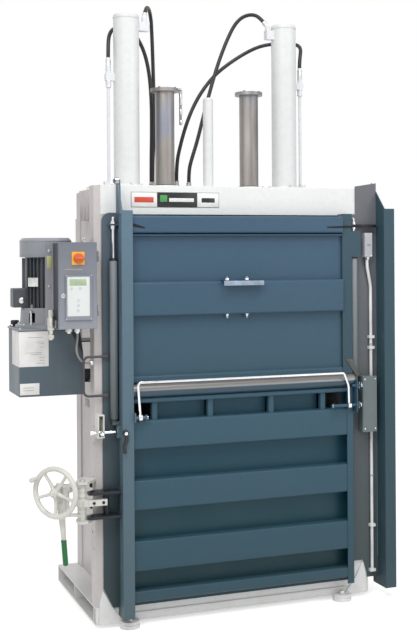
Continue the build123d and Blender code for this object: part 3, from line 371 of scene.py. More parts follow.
FINISH = {
    "base_frame": WHITE, "anchor_feet": PAD_BEIGE, "side_frame_left": WALL_WHITE_SHADED,
    "side_frame_right": WHITE, "rear_wall": WALL_WHITE_SHADED, "bale_floor": FLOOR_STEEL,
    "crosshead": WHITE, "header_cover": HEADER_WHITE, "guide_bushes": WHITE,
    "cylinder_barrels": BARREL_WHITE, "cylinder_glands": STEEL, "pressure_pipes": PIPE_GREY,
    "hose_manifold": STEEL, "oil_tank": TANK, "tank_lid": CABINET, "pump": BLACK_STEEL,
    "motor_bell": MOTOR, "motor_housing": MOTOR_DARK, "motor_cowl": MOTOR,
    "motor_rotor": STEEL, "cabinet_body": CABINET_BODY, "cable_glands": ZINC,
    "hinge_frame_leaves": WHITE, "lock_brackets": CAST_WHITE, "lock_pin": ZINC,
    "platen": PRESS, "piston_rods": CHROME, "guide_tubes": GUIDE_STEEL, "centre_tube": BARREL_WHITE,
    "left_post": POST_LEFT, "right_post": POST_RIGHT, "lower_door": DOOR, "door_sill": SILL,
    "hinge_door_leaves": DOOR, "hinge_pins": ZINC, "switch_box": SWITCH_GREY,
    "bracket_box": GUARD, "cable_conduit": CONDUIT, "strut_tubes": STRUT, "pull_handle": DARK,
    "top_roller": STEEL, "loading_door": LOADER, "door_handle": HANDLE, "guide_shoes": BLACK,
    "strut_rods": CHROME, "bail": CHROME, "latch_lever": BLACK, "lock_lever": CAST_WHITE,
    "ratchet_lever": CAST_WHITE, "latch_bolt": CHROME, "cabinet_door": CABINET,
    "control_plates": FOIL, "hand_wheel": CAST_WHITE, "spinner_knob": CAST_WHITE,
    "switch_knob": RED,
}
for node, material in FINISH.items():
    for place in NODES[node].material_slots:
        place.material = material


# Mesh helpers. Points are in millimetres, and the object is made in metres.

class Form:
    """A mesh made of turned, boxed and drawn pieces."""

    def __init__(self, name, body, material, slot=None):
        self.name, self.body, self.material, self.slot = name, body, material, slot
        self.mesh = bmesh.new()

    def turned(self, origin, axis, profile, sides=32, start=0.0):
        """Revolves (along, radius) pairs about an axis through origin."""
        axis = Vector(axis).normalized()
        side = axis.orthogonal().normalized()
        if abs(axis.z) > 0.9:
            side = Vector((1, 0, 0))
        other = axis.cross(side)
        rings = []
        for along, radius in profile:
            centre = Vector(origin) + axis * along
            if radius <= 0:
                rings.append([self.mesh.verts.new(centre * MM)])
                continue
            ring = []
            for step in range(sides):
                turn = start + 2 * pi * step / sides
                point = centre + (side * cos(turn) + other * sin(turn)) * radius
                ring.append(self.mesh.verts.new(point * MM))
            rings.append(ring)
        for low, high in zip(rings, rings[1:]):
            for step in range(sides):
                after = (step + 1) % sides
                if len(low) == 1 and len(high) == 1:
                    break
                if len(low) == 1:
                    self.mesh.faces.new((low[0], high[after], high[step]))
                elif len(high) == 1:
                    self.mesh.faces.new((low[step], low[after], high[0]))
                else:
                    self.mesh.faces.new((low[step], low[after], high[after], high[step]))
        return self

    def bolt(self, point, axis, across=13, height=6, washer=True):
        """Hexagon head with chamfered corners, on its washer."""
        radius = across * 0.577
        base = 0
        if washer:
            self.turned(point, axis, [(0, 0), (0, radius * 1.22), (1.4, radius * 1.22),
                                      (1.8, radius * 1.15), (1.8, 0)], 24)
            base = 1.8
        self.turned(point, axis, [(base, 0), (base, radius), (base + height * 0.82, radius),
                                  (base + height, radius * 0.84), (base + height, 0)], 6, 0.26)
        return self

    def screw(self, point, axis, radius=4, height=2.4):
        """Cap screw with a sunk socket."""
        self.turned(point, axis, [(0, 0), (0, radius), (height * 0.7, radius),
                                  (height, radius * 0.82), (height, radius * 0.45),
                                  (height * 0.4, radius * 0.4), (height * 0.4, 0)], 18)
        return self

    def box(self, low, high, bevel=1.0, segments=2):
        low, high = Vector(low), Vector(high)
        made = bmesh.ops.create_cube(self.mesh, size=1)
        size = (high - low) * MM
        middle = (high + low) / 2 * MM
        matrix = Matrix.Translation(middle) @ Matrix.Diagonal((*size, 1))
        bmesh.ops.transform(self.mesh, matrix=matrix, verts=made["verts"])
        if bevel:
            edges = {edge for vert in made["verts"] for edge in vert.link_edges}
            bmesh.ops.bevel(self.mesh, geom=list(edges), offset=bevel * MM, segments=segments,
                            affect="EDGES", profile=0.5)
        return self

    def drawn(self, outline, direction, length, bevel=0.0):
        """A flat outline of points, drawn out along a direction."""
        direction = Vector(direction).normalized() * length
        low = [self.mesh.verts.new(Vector(point) * MM) for point in outline]
        high = [self.mesh.verts.new((Vector(point) + direction) * MM) for point in outline]
        faces = [self.mesh.faces.new(low), self.mesh.faces.new(list(reversed(high)))]
        for step in range(len(low)):
            after = (step + 1) % len(low)
            faces.append(self.mesh.faces.new((low[step], high[step], high[after], low[after])))
        if bevel:
            edges = {edge for face in faces for edge in face.edges}
            bmesh.ops.bevel(self.mesh, geom=list(edges), offset=bevel * MM, segments=2,
                            affect="EDGES", profile=0.5)
        return self

    def swept(self, points, radius, sides=12, closed=False, radii=None):
        """A round bar along a smooth line of points."""
        points = [Vector(point) for point in points]
        count = len(points)
        rings = []
        up = None
        for step, point in enumerate(points):
            before = points[step - 1] if step or closed else point
            after = points[(step + 1) % count] if step < count - 1 or closed else point
            along = (after - before).normalized()
            if up is None:
                up = along.orthogonal().normalized()
            up = (up - along * up.dot(along)).normalized()
            side = along.cross(up)
            size = radii[step] if radii else radius
            rings.append([self.mesh.verts.new((point + (up * cos(a) + side * sin(a)) * size) * MM)
                          for a in (2 * pi * k / sides for k in range(sides))])
        pairs = list(zip(rings, rings[1:])) + ([(rings[-1], rings[0])] if closed else [])
        for low, high in pairs:
            shift = 0
            if closed and low is rings[-1]:
                gaps = [(low[0].co - vert.co).length for vert in high]
                shift = gaps.index(min(gaps))
            for k in range(sides):
                after = (k + 1) % sides
                self.mesh.faces.new((low[k], low[after], high[(after + shift) % sides],
                                     high[(k + shift) % sides]))
        if not closed:
            self.mesh.faces.new(list(reversed(rings[0])))
            self.mesh.faces.new(rings[-1])
        return self

    def weld(self, start, end, radius=2.6, pitch=3.2):
        """A run of weld: a bead with ripples and slightly uneven width."""
        start, end = Vector(start), Vector(end)
        count = max(6, int((end - start).length / pitch))
        points, radii = [], []
        for step in range(count + 1):
            share = step / count
            points.append(start.lerp(end, share))
            swell = 1.0 if step % 2 else 0.84
            taper = 0.55 if step in (0, count) else 1
            radii.append(radius * swell * random.uniform(0.93, 1.07) * taper)
        self.swept(points, radius, 8, radii=radii)
        return self

    def done(self):
        """Makes the object, in metres, and lets it ride on its body."""
        bmesh.ops.recalc_face_normals(self.mesh, faces=self.mesh.faces)
        data = bpy.data.meshes.new(self.name)
        self.mesh.to_mesh(data)
        self.mesh.free()
        data.materials.append(self.material)
        data.shade_smooth()
        data.set_sharp_from_angle(angle=radians(SHARP_FROM))
        piece = placed(self.name, data)
        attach(piece, self.body)
        return piece


def collar(inner, outer, length, edge=0.0):
    """Profile of a ring round a bar, chamfered by edge."""
    return [(0, inner), (edge, outer), (length - edge, outer), (length, inner)]


def boxed(name, body, material, slot, low, high, bevel):
    """A piece that is one box, such as a label."""
    Form(name, body, material, slot).box(low, high, bevel).done()


def fasteners(name, body, head, places, axis, size, height):
    """A piece that is only a set of plated heads, each Form.screw or Form.bolt."""
    form = Form(name, body, ZINC, "fittings")
    for place in places:
        head(form, place, axis, size, height)
    form.done()


def round_places(centre, radius, start, count, turned_on=0.0):
    """Places on a level circle. The start is in degrees, and turned_on in radians."""
    for step in range(count):
        a = radians(start + 360 * step / count) + turned_on
        yield Vector(centre) + Vector((cos(a), sin(a), 0)) * radius


# Hoses and cable: the points are in metres

HOSES = {
    "hose_left_pipe": (1.149, [
        (-0.535, 0, 2.759), (-0.535, 0, 2.814), (-0.521, 0.036, 2.882), (-0.480, 0.089, 2.931),
        (-0.414, 0.126, 2.948), (-0.346, 0.140, 2.912), (-0.301, 0.139, 2.832),
        (-0.275, 0.134, 2.720), (-0.264, 0.130, 2.565), (-0.265, 0.128, 2.390),
        (-0.268, 0.130, 2.250), (-0.268, 0.130, 2.140)]),
    "hose_left_port": (1.069, [
        (-0.3336, 0.0192, 2.998), (-0.320, 0.0445, 3.032), (-0.295, 0.091, 3.051),
        (-0.269, 0.138, 3.040), (-0.250, 0.173, 2.998), (-0.242, 0.188, 2.930),
        (-0.238, 0.190, 2.840), (-0.234, 0.191, 2.690), (-0.231, 0.189, 2.520),
        (-0.236, 0.188, 2.350), (-0.241, 0.190, 2.235), (-0.241, 0.190, 2.140)]),
    "hose_right_port": (1.112, [
        (0.3329, 0.0175, 2.998), (0.3156, 0.0406, 3.0324), (0.288, 0.080, 3.051),
        (0.250, 0.114, 3.042), (0.214, 0.134, 3.004), (0.178, 0.141, 2.934), (0.140, 0.141, 2.846),
        (0.103, 0.138, 2.748), (0.064, 0.134, 2.625), (0.024, 0.128, 2.490),
        (-0.012, 0.124, 2.360), (-0.044, 0.121, 2.268), (-0.062, 0.120, 2.205),
        (-0.062, 0.120, 2.140)]),
    "hose_right_pipe": (1.362, [
        (0.535, 0, 2.759), (0.535, 0, 2.788), (0.543, 0.008, 2.828), (0.561, 0.037, 2.874),
        (0.564, 0.089, 2.904), (0.533, 0.140, 2.919), (0.469, 0.174, 2.920), (0.378, 0.188, 2.902),
        (0.288, 0.192, 2.856), (0.200, 0.193, 2.798), (0.120, 0.191, 2.735), (0.051, 0.188, 2.655),
        (-0.008, 0.184, 2.562), (-0.054, 0.180, 2.456), (-0.088, 0.176, 2.348),
        (-0.114, 0.171, 2.242), (-0.114, 0.171, 2.150)]),
}
CABLE_POINTS = [(-0.802, -0.405, 1.396), (-0.802, -0.405, 1.366), (-0.808, -0.398, 1.322),
                (-0.794, -0.384, 1.280), (-0.763, -0.366, 1.250), (-0.733, -0.366, 1.250)]


def flexible(node, points, radius, material):
    """A free hose or cable as a smooth curve through the room of its solid."""
    curve = bpy.data.curves.new(node + "_line", "CURVE")
    curve.dimensions = "3D"
    spline = curve.splines.new("NURBS")
    spline.points.add(len(points) - 1)
    for target, point in zip(spline.points, points):
        target.co = (*point, 1)
    spline.order_u = 3
    spline.use_endpoint_u = True
    spline.resolution_u = 12
    curve.bevel_depth = radius
    curve.bevel_resolution = 5
    curve.materials.append(material)
    piece = placed(node + "_run", curve)
    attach(piece, "press_frame")
    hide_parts(node)


for node, (length, points) in HOSES.items():
    flexible(node, points, 0.010, HOSE)
flexible("cabinet_cable", CABLE_POINTS, 0.005, CABLE)


# Sign on the header: plain fields and no lettering

boxed("sign_border", "press_frame", SIGN_EDGE, "white_paint",
      (-537, -395.9, 1985), (-89, -394.4, 2058), 0.6)
fields = Form("sign_fields", "press_frame", SIGN_WHITE, "white_paint")
fields.box((-535, -396.5, 1987), (-407, -395.7, 2056), 0.3)
fields.box((-202, -396.5, 1987), (-91, -395.7, 2056), 0.3)
fields.done()
boxed("sign_dark_field", "press_frame", SIGN_BLACK, "white_paint",
      (-405, -396.5, 1987), (-204, -395.7, 2056), 0.3)
for bar, tone, left, right, low, high in (("red", SIGN_RED, -520, -424, 2008, 2034),
                                          ("green", SIGN_GREEN, -392, -356, 2012, 2044),
                                          ("pale", SIGN_WHITE, -346, -220, 2012, 2030),
                                          ("dark", SIGN_BLACK, -180, -112, 2010, 2032)):
    boxed("sign_bar_" + bar, "press_frame", tone, "white_paint",
          (left, -397.1, low), (right, -396.3, high), 0.3)


# Cylinders, pipes and guides

flange_bolts = Form("cylinder_flange_bolts", "press_frame", ZINC, "fittings")
caps = Form("cylinder_end_caps", "press_frame", BARREL_WHITE, "cylinder_paint")
for side in SIDES:
    x = side * CYLINDER_X
    for place in round_places((x, 0, FLANGE_TOP), 79.5, 30, 6):
        flange_bolts.bolt(place, Z_AXIS, 13, 7)
    caps.turned((x, 0, 2962), Z_AXIS, [(0, 66.1), (0, 67.6), (6, 68.1), (12, 67.6), (12, 66.1)], 64)
    caps.turned((x, 0, FLANGE_TOP), Z_AXIS, [(0, 66.1), (0, 71), (3, 70), (7, 66.1)], 64)
flange_bolts.done()
caps.done()

guide_screws = Form("guide_cap_screws", "platen", BLACK_STEEL, "steel")
bush_screws = Form("guide_bush_screws", "press_frame", BLACK_STEEL, "steel")
wipers = Form("guide_wipers", "press_frame", SEAL, "dark_plastic")
for side in SIDES:
    x = side * GUIDE_X
    for place in round_places((x, 0, 2614), 60, 45, 4):
        guide_screws.screw(place, Z_AXIS, 6, 5)
    for place in round_places((x, 0, FLANGE_TOP), 71, 45, 4, 0.3):
        bush_screws.screw(place, Z_AXIS, 5, 4)
    wipers.turned((x, 0, FLANGE_TOP + 1), Z_AXIS, [(0, 51), (0, 62), (3, 60), (4, 52)], 48)
guide_screws.done()
bush_screws.done()
wipers.done()

rod_fittings = Form("height_switch_rod_fittings", "platen", ZINC, "fittings")
rod_fittings.bolt((LIMIT_ROD_X, 0, 2611), Z_AXIS, 17, 8)
rod_fittings.bolt((LIMIT_ROD_X, 0, 2600), -Z_AXIS, 17, 8)
for off, low, high, size in ((1.4, 2534, 2588, 7.2), (1.4, 2482, 2512, 7.2), (2.4, 2436, 2454, 8.2)):
    # A little off the rod, so that they pass the guide bush when the platen goes down
    rod_fittings.turned((LIMIT_ROD_X + off, 0, 0), Z_AXIS,
                        [(low, 5), (low, size), (low + 2, size + 1), (high - 2, size + 1),
                         (high, size), (high, 5)], 24)
rod_fittings.done()

fittings = Form("pipe_fitting_collars", "press_frame", ZINC, "fittings")
for side in SIDES:
    x = side * PIPE_X
    for low in (2608, 2638, 2700):
        fittings.turned((x, 0, low), Z_AXIS, [(0, 8), (0, 13.5), (1.2, 14.4), (3.4, 14.4),
                                              (4.6, 13.5), (4.6, 8)], 28)
    for low in range(2713, 2747, 6):
        fittings.turned((x, 0, low), Z_AXIS, collar(12.9, 13.5, 4.6, 1), 28)
    for y in (-10.5, 10.5):
        fittings.screw((x + side * 16, y, 2661), (side, 0, 0), 3.6, 3)
for _, route in (HOSES["hose_left_port"], HOSES["hose_right_port"]):
    start, second = Vector(route[0]) / MM, Vector(route[1]) / MM
    back = (start - second).normalized()
    for along in (1, 7, 13, 19):
        fittings.turned(start + back * along, back, collar(11.9, 12.9, 4.4, 1), 28)
for x, y, top in ((-268, 130, 2140), (-241, 190, 2140), (-62, 120, 2140), (-114, 171, 2150)):
    for low in range(2128, top - 5, 6):
        fittings.turned((x, y, low), Z_AXIS, collar(12.9, 13.7, 4.4, 1), 28)
    fittings.turned((x, y, 2113), Z_AXIS, [(0, 14), (0, 17.5), (9, 17.5), (10.5, 15.5), (10.5, 12)], 6)
fittings.done()

manifold = Form("manifold_fittings", "press_frame", BLACK_STEEL, "steel")
for x in (-293, -42):
    for y in (112, 196):
        manifold.screw((x, y, 2113.8), Z_AXIS, 6, 4)
for x in (-190, -150):
    manifold.turned((x, 101, 2103), FRONT, [(0, 0), (0, 8), (6, 8), (7, 7), (7, 3), (4, 3), (4, 0)], 6)
manifold.done()


# Oil tank and motor

plates = Form("tank_plates", "press_frame", LABEL, "plate_white")
for low, high in (((-1052.6, -286.2, 1236), (-913, -284.8, 1402)),
                  ((-1053.2, -286.2, 1236), (-1051.8, -112, 1402)),
                  ((-1050, -286.0, 1104), (-958, -284.8, 1158))):
    plates.box(low, high, 0.5)
plates.done()
print_lines = Form("tank_plate_print", "press_frame", FOIL_PRINT, "plate_white")
for low, left, right in ((1372, -1010, -940), (1350, -975, -935), (1342, -960, -935),
                         (1326, -955, -935), (1300, -1025, -945), (1292, -1000, -945),
                         (1278, -960, -932), (1264, -955, -932), (1250, -970, -932)):
    print_lines.box((left, -286.5, low), (right, -286.1, low + 2.4), 0)
for low in (1124, 1136):
    print_lines.box((-1035, -286.4, low), (-985, -285.9, low + 3), 0)
print_lines.done()
lid_screws = Form("tank_lid_screws", "press_frame", ZINC, "fittings")
for x, y in ((-1045, -278), (-1045, -24), (-752, -24), (-752, -120), (-860, -279)):
    lid_screws.bolt((x, y, TANK_TOP), Z_AXIS, 10, 5)
for place in round_places(MOTOR_AXIS + MOTOR_FOOT, 135, 30, 6):
    lid_screws.bolt(place, Z_AXIS, 13, 7)
lid_screws.done()
breather = Form("tank_breather", "press_frame", BLACK, "dark_plastic")
breather.turned((-1026, -42, TANK_TOP), Z_AXIS,
                [(0, 0), (0, 12), (10, 12), (10, 19), (13, 21), (26, 21), (30, 17), (31, 0)], 32)
breather.done()
seam = 1402.5
Form("tank_gasket", "press_frame", SEAL, "dark_plastic").drawn(
    [(TANK_LEFT, TANK_FRONT, seam), (-816, TANK_FRONT, seam), (-744, -215, seam),
     (-744, -17, seam), (TANK_LEFT, -17, seam)], Z_AXIS, 2.4).done()

motor = Form("motor_fittings", "press_frame", MOTOR, "motor_paint")
for out in round_places((0, 0, 0), 1, 40, 4):
    motor.turned(MOTOR_AXIS + out * 108 + Z_AXIS * 1500, Z_AXIS,
                 [(0, 0), (0, 9), (24, 9), (26, 7), (26, 0)], 20)
    motor.screw(MOTOR_AXIS + out * 123.6 + Z_AXIS * 1764, out, 5, 3)
motor.turned(MOTOR_AXIS + Z_AXIS * 1757, Z_AXIS, collar(122, 125.4, 4), 72)
motor.turned(MOTOR_AXIS + Z_AXIS * 1823, Z_AXIS, [(0, 122), (1, 125), (5, 125), (7, 122)], 72)
motor.done()
bell_bolts = Form("bell_bolts", "press_frame", ZINC, "fittings")
for place in round_places(MOTOR_AXIS, 127, 225, 4):
    bell_bolts.turned(place + MOTOR_FOOT, Z_AXIS, collar(0, 5, 62), 16)
    bell_bolts.bolt(place + Z_AXIS * 1487, Z_AXIS, 13, 8)
bell_bolts.done()
rating = Form("motor_plate", "press_frame", ZINC, "fittings")
out = next(round_places((0, 0, 0), 1, 228, 1))
half, rise = Z_AXIS.cross(out) * 27, Z_AXIS * 42
middle = MOTOR_AXIS + out * 118.5 + Z_AXIS * 1611
rating.drawn([middle - half, middle + half, middle + half + rise, middle - half + rise], out, 1.6, 0.4)
rating.done()
terminal = Form("terminal_box_screws", "press_frame", ZINC, "fittings")
for y in (-186, -118):
    for z in (1522, 1592):
        terminal.screw((-1059.4, y, z), -X_AXIS, 3.4, 1.4)
terminal.turned((-1022, -193, 1545), FRONT,
                [(0, 0), (0, 15), (8, 15), (9, 12), (17, 12), (19, 9), (19, 0)], 8)
terminal.done()


# Control cabinet

boxed("cabinet_side_label", "press_frame", LABEL_YELLOW, "plate_white",
      (-933, -353.8, 1697), (-911, -352.8, 1756), 0.3)
fasteners("cabinet_plate_bolts", "press_frame", Form.bolt,
          [(-922, -353, z) for z in (1480, 1616, 1780)], FRONT, 10, 5)
hook = Form("cabinet_lifting_lug", "press_frame", ZINC, "fittings")
arc = [(-767 + 9 * cos(radians(t)), -400, 1829 + 9 * sin(radians(t))) for t in range(-90, 270, 18)]
hook.swept(arc, 2.4, 10, closed=True)
hook.turned((-767, -400, 1817), Z_AXIS, [(0, 0), (0, 8), (3, 8), (4, 5), (4, 0)], 24)
hook.done()
seal = Form("cabinet_door_seal", "cabinet_door", SEAL, "dark_plastic")
for left, right, low, high in ((-903, -899, 1425, 1815), (-738, -734, 1425, 1815),
                               (-903, -734, 1425, 1429), (-903, -734, 1811, 1815)):
    seal.box((left, -466.5, low), (right, -464.9, high), 0.4)
seal.done()
lock = Form("cabinet_lock", "cabinet_door", CHROME, "chrome")
lock.turned((-887, -489.8, 1574), FRONT,
            [(0, 0), (0, 11), (2, 11), (3.4, 9.6), (3.6, 7), (2.4, 6.4), (2.4, 0)], 32)
lock.box((-889.6, -493.6, 1571), (-884.4, -491.6, 1577), 0.8)
lock.done()
boxed("keypad_display", "cabinet_door", FOIL_GREEN, "plate_white",
      (-860, -494.5, 1620), (-781, -493.9, 1650), 0.25)
marks = Form("keypad_marks", "cabinet_door", FOIL_PRINT, "plate_white")
marks.box((-852, -494.9, 1630), (-800, -494.4, 1633), 0)
marks.box((-852, -494.9, 1638), (-812, -494.4, 1641), 0)
for x, z, size in ((-850, 1606, 6.5), (-811, 1606, 6.5), (-818, 1551, 7), (-819, 1528, 6),
                   (-821, 1505, 7)):
    marks.turned((x, -493.95, z), FRONT,
                 [(0, size), (0.35, size), (0.35, size - 1.4), (0, size - 1.4)], 28)
    marks.box((x - 2, -494.3, z - 2), (x + 2, -493.9, z + 2), 0)
marks.done()
fasteners("keypad_frame_screws", "cabinet_door", Form.screw,
          [(x, -496, z) for x in (-875, -758) for z in (1466, 1666)], FRONT, 2.2, 1)
boxed("cabinet_small_label", "cabinet_door", LABEL_GREY, "plate_white",
      (-884, -490.7, 1691), (-800, -489.8, 1697), 0.2)
knob = Form("main_switch_knob", "switch_knob", RED, "red_plastic")
knob.turned((-817, -493.4, 1745), FRONT, [(0, 0), (0, 22.5), (1.6, 23.8), (7.5, 23.8), (10, 22),
                                          (11.2, 19), (11.6, 0)], 48)
knob.box((-840.6, -514.6, 1738.6), (-793.4, -503.5, 1751.4), 3.2, 3)
knob = knob.done()
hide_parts("switch_knob")
glands = Form("gland_nuts", "press_frame", ZINC, "fittings")
for x in (-842, -802):
    glands.turned((x, -405, 1404), Z_AXIS, [(0, 14), (0, 17), (7, 17), (8, 15)], 6)
    glands.turned((x, -405, 1415), Z_AXIS, collar(14, 18, 7.6), 6)
for low in range(1422, 1466, 5):
    glands.turned((-925, -400, low), Z_AXIS, collar(17.6, 19, 4.4, 1.2), 32)
glands.turned((-925, -400, 1476), Z_AXIS, [(0, 12), (1, 13.6), (28, 13.6), (32, 11.8)], 6)
glands.done()


# Frame

frame_welds = Form("frame_welds", "press_frame", WELD_WHITE, "white_paint")
for z in HINGE_HEIGHTS:
    for y in (-379, -341):
        frame_welds.weld((720.5, y, z - 64), (720.5, y, z + 64))
for z in (548, 700):
    frame_welds.weld((-720.5, -385, z - 1), (-720.5, -345, z - 1))
for side in SIDES:
    for y in (-104, -34, 40, 112):
        frame_welds.weld((side * 608.5, y - 7, 1936), (side * 608.5, y - 7, 2084))
    frame_welds.weld((side * 608.5, -311, 150), (side * 608.5, -311, 1900), pitch=6)
    frame_welds.weld((side * 688, -392.6, 104), (side * 688, -392.6, 156))
frame_welds.done()
boxed("side_wall_label", "press_frame", LABEL_GREY, "plate_white",
      (-609.2, 141, 968), (-607.9, 222, 1009), 0.3)
fasteners("tank_arm_bolts", "press_frame", Form.bolt, [(-700, y, 1153) for y in (-230, -60)],
          Z_AXIS, 13, 6)
column_plugs = Form("column_plugs", "press_frame", BLACK, "dark_plastic")
for side in SIDES:
    for y, z in ((-371, 1200), (-377, 952), (-373, 871), (-343, 450), (-367, 376)):
        column_plugs.turned((side * 713, y, z), (side, 0, 0), collar(0, 6.8, 2), 20)
column_plugs.done()
anchors = Form("anchor_bolts", "press_frame", ZINC, "fittings")
for x in (-560, 560):
    for y in (-412, 412):
        anchors.turned((x, y, 34), Z_AXIS, collar(8.6, 16, 2.6), 28)
        anchors.bolt((x, y, 36), Z_AXIS, 19, 11, washer=False)
anchors.done()
rear = Form("rear_wall_welds", "press_frame", WELD_WHITE, "white_paint")
for height in (260, 610, 960, 1310, 1660, 1950):
    for edge_z in (height - 62, height + 62):
        for left in range(-560, 560, 280):
            rear.weld((left, 346.6, edge_z), (left + 110, 346.6, edge_z), 2.4, 4)
rear.done()


# Main door

door_welds = Form("door_welds", "main_door", WELD, "blue_grey_paint")
for bottom, top in ((127, 179), (271, 414), (558, 699), (844, 979), (1061, 1085)):
    door_welds.weld((601, -450, bottom + 6), (601, -450, top - 6), 2.2)
for z in HINGE_HEIGHTS:
    for y in (-367, -353):
        door_welds.weld((772, y, z - 26), (772, y, z + 26), 2.4)
for z in (535, 547, 648, 660):
    door_welds.weld((-611, -462, z), (-611, -402, z), 2.4)
for z in (1100, 1283):
    door_welds.weld((-681, -400.6, z - 11), (-681, -400.6, z + 11), 2.2)
door_welds.weld((-611, -446, 903), (-611, -414, 903), 2.2)
for low, high in ((200, 1000), (1180, 1900)):
    door_welds.weld((772, -401, low), (772, -401, high), 2.2, 6)
door_welds.done()
nipples = Form("hinge_grease_nipples", "main_door", ZINC, "fittings")
for z in HINGE_HEIGHTS:
    nipples.turned((745, -360, z + 69), Z_AXIS,
                   [(0, 0), (0, 5), (3, 5), (4, 3), (8, 3), (9, 4.4), (11, 4.4), (12, 2.6), (12, 0)], 16)
nipples.done()
switch = Form("door_switch_fittings", "main_door", ZINC, "fittings")
for x in (697, 728):
    for z in (1746, 1854):
        switch.screw((x, -435, z), FRONT, 3, 1.6)
switch.turned((713, -416, 1739), -Z_AXIS, [(0, 8), (0, 13), (9, 13), (10, 11), (15, 10.4), (16, 8)], 6)
switch.done()
boxed("door_switch_label", "main_door", LABEL_GREY, "plate_white",
      (703, -435.5, 1795), (723, -434.8, 1806), 0.2)
rings = Form("conduit_rings", "main_door", SWITCH_GREY, "dark_plastic")
for z in (1330, 1275, 1292, 620):
    rings.turned((CONDUIT_X, CONDUIT_Y, z - 5), Z_AXIS, collar(8, 9.6, 10), 28)
rings.done()
struts = Form("strut_collars", "main_door", BLACK, "dark_plastic")
for side in SIDES:
    x = side * STRUT_X
    struts.turned((x, STRUT_Y, 1731), Z_AXIS, collar(19, 19.6, 9, 1), 36)
    struts.turned((x, STRUT_Y, 1740), Z_AXIS, [(0, 8.4), (0, 13), (3, 13), (5, 9), (5, 8.4)], 28)
    struts.turned((x, STRUT_Y, 981), Z_AXIS, [(0, 19), (0, 20.4), (8, 20.4), (9, 19)], 36)
struts.done()
bail_pins = Form("bail_pins", "main_door", CHROME, "chrome")
for x, y, z, axis in ((-492, BAIL_Y, BAIL_Z, X_AXIS), (632, BAIL_Y, BAIL_Z, X_AXIS),
                      (636, LOCK_PIN_Y, LOCK_PIN_Z, X_AXIS), (476, BAIL_Y, BAIL_Z, -X_AXIS)):
    bail_pins.turned((x, y, z), axis, [(-1, 0), (-1, 10.4), (0, 11), (3, 11), (4, 9.6), (4, 0)], 28)
for x, y, z in ((626, BAIL_Y, BAIL_Z), (628, LOCK_PIN_Y, LOCK_PIN_Z)):
    clip = [(x, y, z + 17), (x, y, z - 16), (x + 1, y + 4, z - 19), (x + 1, y + 8, z - 14),
            (x, y + 9, z), (x, y + 7, z + 10)]
    bail_pins.swept(clip, 1.3, 8)
bail_pins.done()
# The gusset is dark as painted shade on its slanted face.
gusset = Form("sill_gusset", "main_door", GUSSET_SHADE, "blue_grey_paint")
gusset.drawn([(568, -447, 1226), (608, -447, 1226), (646, -447, 1143), (634, -447, 1131)],
             FRONT, 3, 0.6)
gusset.screw((590, -450, 1212), FRONT, 4, 2)
gusset.done()
# A thin dark strip beside the right guide rail: painted shadow in the gap by the strut.
boxed("rail_shadow_strip", "main_door", SEAL, "dark_plastic", (611, -401.6, 1150), (640, -400.2, 1745), 0.4)
bumpers = Form("loading_door_stops", "main_door", SEAL, "dark_plastic")
for x in (-520, 540):
    bumpers.turned((x, -425, 1140), Z_AXIS, collar(0, 7, 9.4), 24)
bumpers.done()
fasteners("guard_screws", "main_door", Form.screw,
          [(x, -452, z) for z in (1118, 866) for x in (677, 736)], FRONT, 4, 2)
keeper = Form("keeper_bolts", "main_door", BLACK_STEEL, "steel")
for z in (547, 660):
    keeper.bolt((-672, -430, z), Z_AXIS, 17, 5)
    keeper.bolt((-748, -446, z), Z_AXIS, 13, 3.5)
keeper.done()
latch = Form("latch_fittings", "main_door", CHROME, "chrome")
latch.turned((-598, -502.6, LATCH_Z), FRONT, [(-1, 0), (-1, 8), (1.2, 8), (2.2, 6), (2.2, 0)], 28)
latch.turned((-610.5, -430, LATCH_Z), -X_AXIS, [(0, 9.6), (0, 14), (14, 14), (15, 12), (15, 9.6)], 6)
latch.done()


# Loading door

loading = Form("loading_door_nuts", "loading_door", CHROME, "chrome")
for x in (-72, 31):
    loading.bolt((x, -452, 1633), Z_AXIS, 17, 9)
    loading.bolt((x, -452, 1469), -Z_AXIS, 17, 9)
for side in SIDES:
    loading.turned((side * STRUT_X, STRUT_Y, 1905), Z_AXIS, collar(8, 17, 2.4), 28)
loading.done()
# Black strips for the carrier plates' lips in front of the top rail; their black is painted shade.
carrier = Form("carrier_shade_strips", "loading_door", BLACK_STEEL, "steel")
for y, corners in ((-464.2, ((-551, 1891), (-490, 1882), (-490, 1889), (-551, 1908))),
                   (-464.2, ((462, 1886), (552, 1886), (552, 1896), (462, 1893))),
                   (-447.5, ((552, 1887), (612, 1888), (612, 1898), (552, 1897)))):
    carrier.drawn([(x, y, z) for x, z in corners], FRONT, 2, 0.4)
carrier.box((552, -436.6, 1890), (756, -434.2, 1904), 0.6)
carrier.done()
lift_welds = Form("loading_door_welds", "loading_door", WELD, "blue_grey_paint")
for bottom, top in ((1862, 1944), (1469, 1629)):
    for x in (-553, 553):
        lift_welds.weld((x, -436, bottom + 8), (x, -460, bottom + 8), 2)
        lift_welds.weld((x, -434, bottom + 10), (x, -434, top - 8), 2.2)
lift_welds.weld((516, -434, 1896.5), (560, -434, 1896.5), 2.2)
lift_welds.done()
fasteners("guide_shoe_screws", "loading_door", Form.screw,
          [(x, -439.5, z) for x in (-570, 570) for z in (1180, 1260, 1785, 1865)], FRONT, 4, 1.6)


# Lock

wheel = Form("lock_hand_wheel", "hand_wheel", CAST_WHITE, "white_paint")


def at_wheel(across, down, along=0.0):
    """A point near the wheel: across it, down from its centre and along its spindle."""
    return WHEEL_CENTRE + ACROSS * across - Z_AXIS * down + SPINDLE * along


